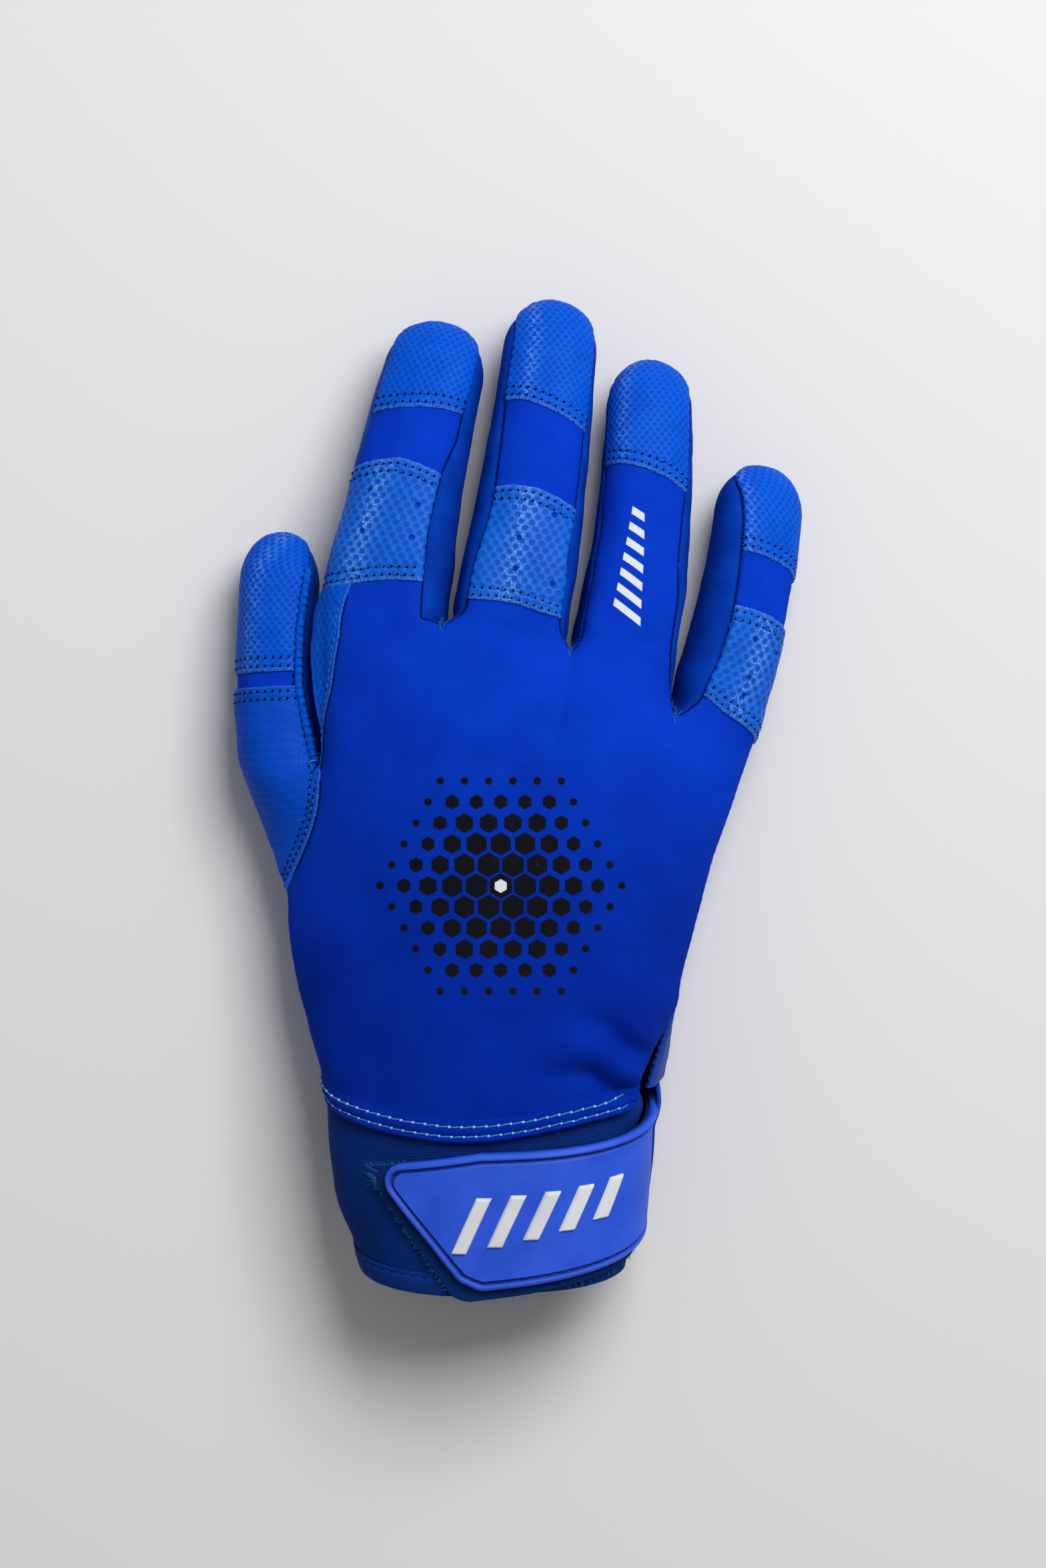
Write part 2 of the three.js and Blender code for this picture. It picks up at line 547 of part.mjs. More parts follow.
const backStrips = handStrips(backLines, backSides, backArc, SIDE_STEEPNESS, 0);
const palmSides = [palmThumbEdge, palmOuterEdge];
const palmStrips = handStrips(palmLines, palmSides, palmArc, -SIDE_STEEPNESS, PALM_PRESS);
addPart("back_panel", fabric, sheet(backStrips, FABRIC, HAND_ROWS, 5, vec(0, 0, 1), isSideSeam));
addPart("palm_panel", leather, sheet(palmStrips, LEATHER, HAND_ROWS, 5, vec(0, 0, -1), isSideSeam));

// Crotch of the fourchettes: a narrow fold between two stalls, from the wall of one round to the other's.
function crotchPiece(i) {
  const [left, right] = [fingers[i], fingers[i + 1]];
  const reach = (stall, y) => (y - stall.baseY) / stall.frame(0).tangent.y;
  const skinAt = (lift) => (u, v) => {
    const y = mix(crotches[i].y, palmCrotches[i].y, v);
    const angle = mix(BACK_SEAM - CROTCH_TUCK, CROTCH_TUCK - FRONT_SEAM, v);
    const wall = (stall, degrees, share) => {
      const low = reach(stall, y) + CROTCH_FOLD / 2;
      return stall.point(mix(-SEAM_GAP / 2, low, Math.min(share, 1)), degrees, lift);
    };
    if (u < 0.5) return wall(left, angle, u / CROTCH_WALL_SHARE);
    if (u > 0.5) return wall(right, 180 - angle, (1 - u) / CROTCH_WALL_SHARE);
    const fold = between(wall(left, angle, 1), wall(right, 180 - angle, 1), 0.5);
    return fold.setY(y + lift);
  };
  const skin = grid(CROTCH_ROWS, 4, skinAt(0));
  return solidFromGrids([{ skin, lining: grid(CROTCH_ROWS, 4, skinAt(-FABRIC)) }]);
}
crotches.forEach((_, i) => {
  addPart(`${fingers[i].name}_${fingers[i + 1].name}_crotch`, stretch, crotchPiece(i));
});

// Thumb stall, and the two collar panels that join it to the hand round the thumb hole
const thumb = new Stall(THUMB);
function addThumb() {
  const gap = gapAngle(thumb);
  const back = [THUMB_BACK_SEAM, THUMB_FRONT_SEAM];
  const front = [THUMB_FRONT_SEAM, 360 + THUMB_BACK_SEAM];
  const { flexStart, flexEnd } = thumb;
  const lower = ([low, high]) => squarePanel(SEAM_GAP, flexStart, [low + gap, high - gap], 2, 10);
  const upper = (range) => tipPanel(thumb, flexEnd + SEAM_GAP, range, gap, TIP_ROWS, 9);
  addPart("thumb_lower_back", leather, stallPanel(thumb, lower(back), 0, LEATHER));
  addPart("thumb_lower_front", leather, stallPanel(thumb, lower(front), 0, LEATHER));
  addPart("thumb_tip_cap", leather, stallPanel(thumb, upper(back), 0, LEATHER));
  addPart("thumb_front_upper", leather, stallPanel(thumb, upper(front), 0, LEATHER));
  const ring = squarePanel(flexStart + SEAM_GAP, flexEnd, [0, 360], 2, 24);
  addPart("thumb_knuckle_flex", fabric, stallPanel(thumb, ring, 0, FABRIC));
  thumb.hinge("thumb_knuckle", (flexStart + flexEnd) / 2);
}
addThumb();

// An edge of the thumb hole as it is between the rows of the hand's panels.
function rowEdge(edge) {
  return (v) => {
    const row = Math.floor(v * HAND_ROWS);
    return between(edge(row / HAND_ROWS), edge((row + 1) / HAND_ROWS), v * HAND_ROWS - row);
  };
}

// A collar panel runs from an edge of the thumb hole to the base of the stall.
function collar(holeEdge, fromAngle, toAngle) {
  const [start, end] = [THUMB_HOLE_START[0], THUMB_HOLE_END[1]];
  return (v, t) => {
    const share = mix(COLLAR_TUCK[0], 1 - COLLAR_TUCK[1], t);
    const atHole = holeEdge(mix(start, end, share));
    const atStall = thumb.point(-SEAM_GAP, mix(fromAngle, toAngle, share), 0);
    const clearance = mix(...COLLAR_CLEARANCE, smooth(t, COLLAR_EASE_START, 1));
    return between(atHole, atStall, mix(clearance, 1, v));
  };
}
const backHoleEdge = rowEdge((v) => thumbSeam.getPoint(v));
const backCollar = collar(backHoleEdge, THUMB_FRONT_SEAM, THUMB_BACK_SEAM);
const palmCollar = collar(rowEdge(palmThumbEdge), THUMB_FRONT_SEAM, 360 + THUMB_BACK_SEAM);
const isCollarEnd = (f, t) => t === 0 || t === 1;
addPart("thumb_base_panel", leather, sheet([backCollar], LEATHER, 3, 10, vec(-0.3, 0, 1), isCollarEnd));
addPart("thumb_base_gusset", leather, sheet([palmCollar], LEATHER, 3, 10, vec(-0.3, 0, -1), isCollarEnd));
const spread = thumbSeam.getPoint(mix(THUMB_HOLE_START[0], THUMB_HOLE_END[1], THUMB_SPREAD_SHARE));
hinges.thumb_spread = { point: [spread.x, spread.y, thumb.baseZ], axis: [0, 0, 1] };

export default glove;
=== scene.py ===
import bpy
import numpy as np
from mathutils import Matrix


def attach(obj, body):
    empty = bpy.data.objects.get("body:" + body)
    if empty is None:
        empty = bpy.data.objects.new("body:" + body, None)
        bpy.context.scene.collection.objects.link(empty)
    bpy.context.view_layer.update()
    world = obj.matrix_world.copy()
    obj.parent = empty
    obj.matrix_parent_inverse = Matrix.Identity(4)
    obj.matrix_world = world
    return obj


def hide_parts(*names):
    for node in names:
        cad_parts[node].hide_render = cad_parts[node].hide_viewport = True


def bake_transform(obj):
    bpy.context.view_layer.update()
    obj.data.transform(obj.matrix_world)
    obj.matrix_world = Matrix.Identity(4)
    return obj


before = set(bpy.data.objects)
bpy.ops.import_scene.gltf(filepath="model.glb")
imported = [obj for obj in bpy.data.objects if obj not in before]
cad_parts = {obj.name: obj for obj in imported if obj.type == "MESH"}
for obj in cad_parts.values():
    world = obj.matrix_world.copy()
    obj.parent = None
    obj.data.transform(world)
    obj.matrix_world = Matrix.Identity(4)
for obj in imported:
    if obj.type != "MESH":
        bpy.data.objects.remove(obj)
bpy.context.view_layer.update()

# The form of the glove: a rounded, tapering tube for each finger and the thumb, a back and a palm that run
# from the oval of the wrist into them, all in millimetres. Every panel below is cut out of this form.
MM = 0.001


def smooth(x, low, high):
    """Smoothstep: 0 below low, 1 above high, 3t^2 - 2t^3 between."""
    t = np.clip((x - low) / (high - low), 0, 1)
    return t * t * (3 - 2 * t)


def mix(a, b, t):
    """From a at t = 0 to b at t = 1, straight between."""
    return a + (b - a) * t


def unit(v):
    """Vectors brought to length 1."""
    return v / np.maximum(np.linalg.norm(v, axis=-1, keepdims=True), 1e-9)


def box_radius(angle, a, b, squareness):
    """Distance from the middle of a rounded box of half sizes a and b to its edge, at an angle."""
    c, s = np.abs(np.cos(angle)) / a, np.abs(np.sin(angle)) / b
    return (c**squareness + s**squareness) ** (-1 / squareness)


class Stall:
    """Tube of rounded-box section on a quadratic Bezier line, closed by a half ellipse at its tip."""

    ROUND = 11.0
    CLEARANCE = 0.4

    def __init__(self, base, half, tip_half, length, roll, lean, bow, curl, square=5.0):
        self.half, self.tip_half, self.length = half, tip_half, length
        self.roll, self.square = np.radians(roll), square
        self.base = np.array(base, float)
        tip_z = tip_half[1] + self.CLEARANCE
        reach = np.sqrt(length**2 - lean**2 - (tip_z - base[2]) ** 2)
        self.tip = np.array([base[0] + lean, base[1] + reach, tip_z])
        self.control = (self.base + self.tip) / 2 + np.array([2 * bow, 0, 2 * curl])

    def axes(self, along):
        """Middle of the tube, its across and its back direction; straight on past both ends."""
        s = np.clip(along / self.length, 0, 1)[..., None]
        line = (1 - s) ** 2 * self.base + 2 * (1 - s) * s * self.control + s**2 * self.tip
        run = unit((1 - s) * (self.control - self.base) + s * (self.tip - self.control))
        centre = line + run * (along[..., None] - s * self.length)
        level = unit(np.cross(run, [0, 0, 1.0]))
        up = np.cross(level, run)
        cos, sin = np.cos(self.roll), np.sin(self.roll)
        return centre, level * cos - up * sin, up * cos + level * sin

    def at(self, along, degrees):
        """Point of the tube: 0 degrees is the little-finger side, 90 the back, 180 the thumb side."""
        along, degrees = np.broadcast_arrays(np.asarray(along, float), np.asarray(degrees, float))
        s = np.clip(along / self.length, 0, 1)
        q = np.clip((along - self.length) / self.ROUND + 1, 0, 1)
        square = mix(self.square, 2.4, smooth(along, 0, 24))
        a = mix(self.half[0], self.tip_half[0], s)
        b = mix(self.half[1], self.tip_half[1], s)
        angle = np.radians(degrees)
        r = np.sqrt(1 - q**2) * box_radius(angle, a, b, square)
        centre, across, back = self.axes(along)
        return centre + across * (r * np.cos(angle))[..., None] + back * (r * np.sin(angle))[..., None]

    def rows(self, straight, end):
        """Distances along the tube: even rows, then rows round the tip at even angles."""
        shoulder = self.length - self.ROUND
        turn = np.sin(np.linspace(0, np.pi / 2, end + 1)[1:])
        return np.concatenate([np.linspace(0, shoulder, straight + 1), shoulder + self.ROUND * turn])

    def closing(self, along):
        """1 on the straight part, falling to 0 where the side seams meet on the tip."""
        q = np.clip((along - self.length) / self.ROUND + 1, 0, 1)
        return 1 - smooth(np.arcsin(q) / (np.pi / 2), 0, 0.8)


FINGERS = ("index", "middle", "ring", "little")
# Stalls: base, half sizes there and at the tip, length, roll in degrees, lean, bow and curl, squareness
STALLS = {
    "index": Stall((-23.4, 91, 21.9), (13.9, 11), (11, 8.4), 68.7, -10, 13.6, -1.5, 2.5),
    "middle": Stall((4.6, 91, 23.4), (13.4, 11.3), (10, 8.7), 73.2, 1, 9.9, 0.9, 2.6),
    "ring": Stall((30.3, 85, 21.2), (11.6, 10.5), (9.2, 8.3), 65, 12, 5.6, 1.8, 2.5),
    "little": Stall((51.4, 74, 16.2), (10.4, 9.2), (9.4, 7.6), 52.5, 20, 9.8, 1.9, 2.0, 3.4),
    "thumb": Stall((-46.4, 56.5, 12.6), (9.9, 10.2), (8.2, 8.6), 53.6, -8, -0.3, -1.6, 0.6, 2.5),
}
# Seams beside each back strip: distances along the stall, angles of the outer and of the thumb-side seam
BACK_SEAMS = {
    "index": ([0, 8, 20, 33, 41, 57], [48, 48, 45, 40, 29, 26], [166, 166, 161, 158, 150, 152]),
    "middle": ([0, 14, 24, 41, 48, 61], [44, 41, 32, 30, 28, 24], [134, 137, 137, 143, 146, 144]),
    "ring": ([0, 5, 22, 34, 47, 54], [50, 49, 46, 41, 38, 34], [152, 156, 166, 172, 174, 176]),
    "little": ([0, 6, 19, 31, 38, 42], [8, 8, 8, 8, 8, 8], [126, 120, 123, 128, 131, 136]),
}
FRONT_SEAM = 42


def seam_angles(name, along):
    """Angles of the four seams of a finger, drawn together on the sides of the tip."""
    stations, low, high = BACK_SEAMS[name]
    closing = STALLS[name].closing(along)
    low = np.interp(along, stations, low) * closing
    high = 180 + (np.interp(along, stations, high) - 180) * closing
    front_low = high if name == "index" else 180 + FRONT_SEAM * closing
    front_high = 360 + low if name == "little" else 360 - FRONT_SEAM * closing
    return low, high, front_low, front_high


CUFF = dict(half=35.8, taper=2.4, depth=19.0, middle=20.4, drop=1.5, length=38.0, side_y=-16.0, slant=0.43)


def cuff_at(degrees, down, lift):
    """Point of the wrist's oval, down from the hem and raised by lift; its edges slant to the back.

    The oval is fuller on the thumb side under the hem, and drawn in by the strap on the open side."""
    degrees, down, lift = np.broadcast_arrays(*(np.asarray(x, float) for x in (degrees, down, lift)))
    share, angle = down / CUFF["length"], np.radians(degrees)
    thumb_side, open_side = smooth(-np.cos(angle), 0, 0.8), smooth(np.cos(angle), 0, 0.8)
    flare = thumb_side * (0.9 * smooth(down, 0, 3) * (1 - smooth(down, 6, 24)) - 4.0 * smooth(down, 20, 38))
    half = CUFF["half"] - CUFF["taper"] * share**2 + lift + flare - 2.4 * open_side * smooth(down, -2, 8)
    depth = CUFF["depth"] - CUFF["drop"] * share + lift
    r = box_radius(angle, half, depth, 2.5)
    z = CUFF["middle"] - CUFF["drop"] * share + r * np.sin(angle)
    return np.stack([r * np.cos(angle), CUFF["side_y"] - down - CUFF["slant"] * (z - CUFF["middle"]), z], -1)


def hem_at(degrees):
    """Point of the line round the wrist where the hand's panels end."""
    return cuff_at(degrees, -0.7, 1.0)


def spline(points, v):
    """Centripetal Catmull-Rom curve through points, at shares v of its spans."""
    p = np.array([2 * points[0] - points[1], *points, 2 * points[-1] - points[-2]])
    i = np.minimum((v * (len(points) - 1)).astype(int), len(points) - 2)
    t = (v * (len(points) - 1) - i)[:, None]
    a, b, c, d = (p[i + k] for k in range(4))
    k0, k1, k2 = (np.sqrt(np.linalg.norm(q - r, axis=1, keepdims=True)) for q, r in ((b, a), (c, b), (d, c)))
    m0 = k1 * ((b - a) / k0 - (c - a) / (k0 + k1) + (c - b) / k1)
    m1 = k1 * ((c - b) / k1 - (d - b) / (k1 + k2) + (d - c) / k2)
    return b + m0 * t + (3 * (c - b) - 2 * m0 - m1) * t**2 + (2 * (b - c) + m0 + m1) * t**3


def span_weights(t):
    """Catmull-Rom weights of the four points round a span, at shares t of it."""
    return (
        -t / 2 + t**2 - t**3 / 2, 1 - 2.5 * t**2 + 1.5 * t**3,
        t / 2 + 2 * t**2 - 1.5 * t**3, (t**3 - t**2) / 2,
    )


def side_seam(stations, side, wrist, top):
    """Seam up one side of the hand: stations are (distance up, reach, rise over the cuff's middle)."""
    points = [np.array([side * reach, y, CUFF["middle"] + rise]) for y, reach, rise in stations]
    return lambda v: spline([hem_at(wrist), *points, top], v)


thumb_seam = side_seam(
    [(6, 43.2, -1), (27, 46.4, -1), (45, 40.6, 4), (58, 38.2, 5), (74, 37.4, 4)], -1, 180.0,
    STALLS["index"].at(0.0, 166.0),
)
outer_seam = side_seam(
    [(0, 41.4, -2), (20, 46.4, -3), (42, 52.6, -3), (60, 58.6, -4)], 1, 0.0, STALLS["little"].at(0.0, 8.0)
)
THUMB_HOLE = (0.34, 0.67)


def palm_thumb_edge(v):
    """The palm's edge leaves the thumb-side seam and dips under the thumb."""
    gape = smooth(v, THUMB_HOLE[0], 0.46) * (1 - smooth(v, 0.55, THUMB_HOLE[1]))
    return thumb_seam(v) + gape[:, None] * np.array([3.5, 0, -17.0])


CROTCH_ROW = 0.8
CROTCH_DROP = (1.5, 1.2, 5.5)


def crotch(i, outer_angle, thumb_angle, setback):
    """Point where finger i parts from the next one."""
    left, right = STALLS[FINGERS[i]], STALLS[FINGERS[i + 1]]
    y = right.base[1] - CROTCH_DROP[i] - setback
    p = (left.at(y - left.base[1], outer_angle) + right.at(y - right.base[1], thumb_angle)) / 2
    return np.array([p[0], y, p[2]])


def hand_side(back, v, t):
    """Back or palm of the hand as four strips of a grid: rows v up the hand, columns t across a strip.

    A strip follows a Catmull-Rom curve across the hand, then the arc of its stall; past the crotch row
    its edges run in a parabola from the crotch to the seams of the stall. The heel of the palm is pressed
    flat on the table."""
    drop = 15.0 if back else -15.0
    zero = np.array(0.0)
    arcs = [np.array(seam_angles(n, zero)) for n in FINGERS]
    arcs = [(a[1], a[0]) if back else (a[2], a[3]) for a in arcs]
    turn = np.array([180, 135, 90, 45, 0.0]) if back else np.array([180, 225, 270, 315, 360.0])
    meeting = (42, 138, 0) if back else (-42, 222, 1.5)
    ends = [crotch(i, *meeting) for i in range(3)]
    lift = np.array([0, 0, 2 * 3.4 if back else -2 * 6.0])
    sides = (thumb_seam, outer_seam) if back else (palm_thumb_edge, outer_seam)

    def line(i, s):
        a, b = hem_at(turn[i + 1]), ends[i]
        s = s[:, None]
        return (1 - s) ** 2 * a + 2 * (1 - s) * s * ((a + b) / 2 + lift) + s**2 * b

    def nodes(v):
        part = np.minimum(v / CROTCH_ROW, 1)
        return [n[:, None] for n in (sides[0](v), *(line(i, part) for i in range(3)), sides[1](v))]

    def across(n, f, t):
        tuck = np.array([2, 0, -drop])
        p = [n[0] + tuck, *n, n[4] + tuck * [-1, 1, 1]][f : f + 4]
        return sum(q * k for q, k in zip(p, span_weights(t)))

    strips = []
    row, col = v[:, None, None], t[None, :, None]
    root = np.clip((row - CROTCH_ROW) / (1 - CROTCH_ROW), 0, 1)
    parted = np.concatenate([root * (2 - root), root, root], -1)
    n, hem = nodes(v), nodes(np.zeros(1))
    for f, name in enumerate(FINGERS):
        arc = STALLS[name].at(0.0, mix(*arcs[f], t))[None]
        left = n[f] if f == 0 else mix(n[f], arc[:, :1], parted)
        right = n[f + 1] if f == 3 else mix(n[f + 1], arc[:, -1:], parted)
        hand_bulge = across(n, f, col) - mix(n[f], n[f + 1], col)
        stall_bulge = arc - mix(arc[:, :1], arc[:, -1:], col)
        w = smooth(row, 0.45, 1)
        fit = hem_at(mix(turn[f], turn[f + 1], t))[None] - across(hem, f, col)
        p = mix(left, right, col) + hand_bulge * (1 - w) + stall_bulge * w + fit * (1 - smooth(row, 0, 0.4))
        if not back:
            seam_side = smooth(t if f == 0 else 1 - t, 0, 0.3) if f in (0, 3) else np.ones_like(t)
            p[..., 2] = np.maximum(p[..., 2] - 1.2 * (1 - smooth(row[..., 0], 0.4, 1)) * seam_side, 0)
        strips.append(p)
    return strips


def columns(count, edge=0.55):
    """Shares across a panel, closer together at its two seams."""
    s = np.linspace(0, 1, count + 1)
    return mix(s, (1 - np.cos(np.pi * s)) / 2, edge)


HAND_V = np.linspace(0, CROTCH_ROW, 105)
ROOT_V = np.linspace(CROTCH_ROW, 1, 25)
V = np.concatenate([HAND_V, ROOT_V[1:]])
CROTCH_I, BASE_I = len(HAND_V) - 1, len(V) - 1
BACK_T, PALM_T, SIDE_T = columns(44), columns(32), columns(18)

form = {}
back_strips, palm_strips = hand_side(True, V, BACK_T), hand_side(False, V, PALM_T)
along = {}
for f, name in enumerate(FINGERS):
    stall = STALLS[name]
    run = stall.rows(84, 22)[1:]
    low, high, front_low, front_high = (a[:, None] for a in seam_angles(name, run))
    back = stall.at(run[:, None], mix(high, low, BACK_T[None]))
    front = stall.at(run[:, None], mix(front_low, front_high, PALM_T[None]))
    form[name, "back"] = np.concatenate([back_strips[f], back])
    form[name, "front"] = np.concatenate([palm_strips[f], front])
    base = [a[None, None] for a in seam_angles(name, np.array(0.0))]
    root = smooth(ROOT_V, CROTCH_ROW, 1)[:, None, None]
    for side in ("outer", "thumb"):
        if (name, side) in (("index", "thumb"), ("little", "outer")):
            continue
        if side == "outer":
            ends, edge, (a0, a1) = (low, front_high - 360), -1, (base[0], base[3] - 360)
        else:
            ends, edge, (a0, a1) = (high, front_low), 0, (base[1], base[2])
        arc = stall.at(0.0, mix(a0, a1, SIDE_T)[0])[None]
        top = back_strips[f][CROTCH_I:, edge][:, None]
        foot = palm_strips[f][CROTCH_I:, edge][:, None]
        wall = mix(top, foot, SIDE_T[None, :, None])
        wall = wall + root * (arc - mix(arc[:, :1], arc[:, -1:], SIDE_T[None, :, None]))
        form[name, side] = np.concatenate([wall, stall.at(run[:, None], mix(*ends, SIDE_T[None]))])
    steps = np.linalg.norm(np.diff(back_strips[f][:, len(BACK_T) // 2], axis=0), axis=1)
    before = np.concatenate([[0], np.cumsum(steps)])
    along[name] = np.concatenate([before - before[-1], run])

# Thumb: a collar from the edges of the thumb hole to the base of the stall, and the stall
THUMB_SEAMS = ([0, 7, 18, 29, 47], [44, 49, 55, 53, 40])
THUMB_OUTER_SEAM = 205
HOLE_I = np.round(np.array(THUMB_HOLE) / CROTCH_ROW * CROTCH_I).astype(int)
hole = np.arange(HOLE_I[0], HOLE_I[1] + 1)
THUMB_T = np.linspace(0, 1, len(hole))
stall = STALLS["thumb"]
run = stall.rows(72, 22)
closing = stall.closing(run)
inner = (np.interp(run, *THUMB_SEAMS) * closing)[:, None]
outer = (180 + (THUMB_OUTER_SEAM - 180) * closing)[:, None]
collar_k = np.linspace(0, 1, 15)[:-1, None, None]
for side, edge, far in (
    ("back", back_strips[0][hole, 0], inner),
    ("front", palm_strips[0][hole, 0], 360 + inner),
):
    tube = stall.at(run[:, None], mix(outer, far, THUMB_T[None]))
    form["thumb", side] = np.concatenate([mix(edge[None], tube[:1], collar_k), tube])
along["thumb"] = np.concatenate([np.linspace(-14, -1, 14), run])


# Sewing the form: the panels are joined along their seams, eased where the fingers and the thumb leave the
# hand, drawn in along every seam, and creased where the glove folds at the little-finger side of the wrist.
def quads(rows, cols):
    """Corners of the cells of a grid, as indices into its points."""
    i = np.arange(rows * cols).reshape(rows, cols)
    return np.stack([i[:-1, :-1], i[:-1, 1:], i[1:, 1:], i[1:, :-1]], -1).reshape(-1, 4)


keys = list(form)
offsets = np.cumsum([0] + [form[k].shape[0] * form[k].shape[1] for k in keys])
loose = np.concatenate([form[k].reshape(-1, 3) for k in keys])
rounded = np.round(loose * 1e4).astype(np.int64)
_, first, welded = np.unique(rounded, axis=0, return_index=True, return_inverse=True)
welded = welded.ravel()
points = loose[first]


def panel_ids(key):
    """The joined points of a panel, laid out on its grid."""
    i = keys.index(key)
    return welded[offsets[i] : offsets[i + 1]].reshape(form[key].shape[:2])


def panel_run(key):
    """Distances along the stall of a panel's rows, as a column."""
    return along[key[0]][-len(form[key]) :, None]


cells = np.concatenate([panel_ids(k).ravel()[quads(*form[k].shape[:2])] for k in keys])
FACING = {"back": 1, "front": -1, "outer": 1, "thumb": -1}
flip = np.concatenate([np.full((form[k].shape[0] - 1) * (form[k].shape[1] - 1), FACING[k[1]]) for k in keys])


def field(function):
    """A value on every joined point: the mean of what a function of a panel's key gives there."""
    values = np.concatenate([np.broadcast_to(function(k), form[k].shape[:2]).ravel() for k in keys])
    return np.bincount(welded, values, len(points)) / np.bincount(welded, minlength=len(points))


def easing(key):
    """How far a point is eased: full at the roots of the stalls and on the thumb's collar."""
    name, side = key
    rows = panel_run(key)
    if name == "thumb":
        return 1 - smooth(rows, 2, 14)
    ease = smooth(rows, -26, -8) * (1 - smooth(rows, 3, 15))
    if name == "index" and side in ("back", "front"):
        v = np.concatenate([V, np.full(form[key].shape[0] - len(V), 2.0)])[:, None]
        t = (BACK_T if side == "back" else PALM_T)[None]
        near = smooth(v, 0.26, 0.38) * (1 - smooth(v, 0.64, 0.76)) * (1 - smooth(t, 0.1, 0.7))
        ease = np.maximum(ease, near)
    return ease


ease = field(easing)[:, None]
edges = np.concatenate([cells[:, [k, (k + 1) % 4]] for k in range(4)])
edges = np.unique(np.sort(edges, 1), axis=0)
edges = edges[edges[:, 0] != edges[:, 1]]
links = np.concatenate([edges, edges[:, ::-1]])
valence = np.bincount(links[:, 0], minlength=len(points))[:, None]


def around(values):
    """Mean of a vector over the neighbours of each joined point."""
    sums = [np.bincount(links[:, 0], values[links[:, 1], k], len(points)) for k in range(3)]
    return np.stack(sums, -1) / valence


EASINGS, SOFTENINGS = 40, 14
for _ in range(EASINGS):
    points = mix(points, around(points), 0.6 * ease)


def point_normals(points):
    """Unit normals of the joined points: the sum of the crossed diagonals of the cells round each."""
    a, b, c, d = (points[cells[:, k]] for k in range(4))
    n = np.cross(c - a, d - b) * flip[:, None]
    total = np.stack([np.bincount(cells.ravel(), np.repeat(n[:, k], 4), len(points)) for k in range(3)], -1)
    return unit(total)


normals = point_normals(points)
press = normals
for _ in range(SOFTENINGS):
    press = unit(mix(press, around(press), 0.8))


def lengths(grid, axis):
    """Distance of each point along its column (axis 0) or row (axis 1), and what is left to its end."""
    step = np.linalg.norm(np.diff(grid, axis=axis), axis=2)
    d = np.concatenate([np.zeros_like(np.take(step, [0], axis)), np.cumsum(step, axis)], axis)
    return d, np.take(d, [-1], axis) - d


SEAM_DEPTH, SEAM_HALF, PUCKER_HEIGHT, PUCKER_PITCH = 0.75, 0.6, 0.08, 2.3


def seam_dent(key):
    """Panels dip into their seams and pucker beside the thread."""
    name, side = key
    left, right = lengths(points[panel_ids(key)], 1)
    rows = panel_run(key)
    if name == "thumb":
        on_left, on_right = smooth(rows, -14, -4), smooth(rows, -14, -4)
    elif side in ("back", "front"):
        parted = smooth(np.arange(len(rows)), CROTCH_I - 3, CROTCH_I + 3)[:, None]
        on_left = np.ones_like(rows) if name == "index" else parted
        on_right = np.ones_like(rows) if name == "little" else parted
    else:
        on_left = on_right = np.ones_like(rows)
    dent, open_row = 0, smooth(left[:, -1:], 2, 9)
    for d, sewn_row in ((left, on_left * open_row), (right, on_right * open_row)):
        pucker = np.sin(rows * 2 * np.pi / PUCKER_PITCH) * np.exp(-d / 1.5)
        dent = dent - sewn_row * (SEAM_DEPTH * np.exp(-((d / SEAM_HALF) ** 2)) - PUCKER_HEIGHT * pucker)
    return dent


def ripple(p, size, seed):
    """Soft unevenness: a sum of nine plane waves of about the given wavelength, from -1 to 1."""
    rng = np.random.default_rng(seed)
    k = unit(rng.normal(size=(9, 3))) * (2 * np.pi / size) * rng.uniform(0.7, 1.4, (9, 1))
    return np.sin(p @ k.T + rng.uniform(0, 6.3, 9)).sum(-1) / 4.5


# Creases of the back, fanning out from the open corner, and the lines of the palm: start and end in plan,
# half width and height
CREASES = [
    ((39, -6.6), (16, 3), 2.0, -2.8), ((40, -12), (12, -3), 2.2, 1.9), ((38, -15.6), (7, -9.5), 1.5, -2.3),
    ((43, 3), (22, 11), 3.2, 1.3), ((-40, 2), (-26, -8), 5.0, -0.6),
]
PALM_LINES = [
    ((-29, 66), (27, 55), 1.3, -0.9), ((31, 47), (-12, 52), 1.3, -0.8), ((-27, 56), (6, 14), 1.4, -0.9),
]


def creases(p, lines):
    """Ridges and valleys: Gaussian across each line, twice as wide at its far end and faded at both."""
    height = np.zeros(len(p))
    for a, b, width, rise in lines:
        a, run = np.array(a, float), np.subtract(b, a, dtype=float)
        q = p[:, :2] - a
        s = q @ run / (run @ run)
        off = (q @ np.array([-run[1], run[0]])) / np.linalg.norm(run)
        spread = width * (1 + np.clip(s, 0, 1))
        height += rise * np.exp(-((off / spread) ** 2)) * smooth(s, -0.4, 0.1) * (1 - smooth(s, 0.3, 1.2))
    return height


def knuckles(p):
    """The back swells over the slanting row of knuckles and hollows between them and the wrist."""
    y = p[:, 1] + 0.22 * np.maximum(p[:, 0] - 5, 0)
    swell = 1.9 * np.exp(-(((y - 70) / 17) ** 2)) - 1.7 * np.exp(-(((y - 26) / 20) ** 2))
    return swell * np.exp(-(((p[:, 0] - 4) / 40) ** 4))


BASE_FOLDS = (3.0, 8.5)
FRONT_FOLDS = {"index": (37, 42.5), "middle": (36, 41.5), "ring": (29.5, 35), "little": (20.5, 25.5)}


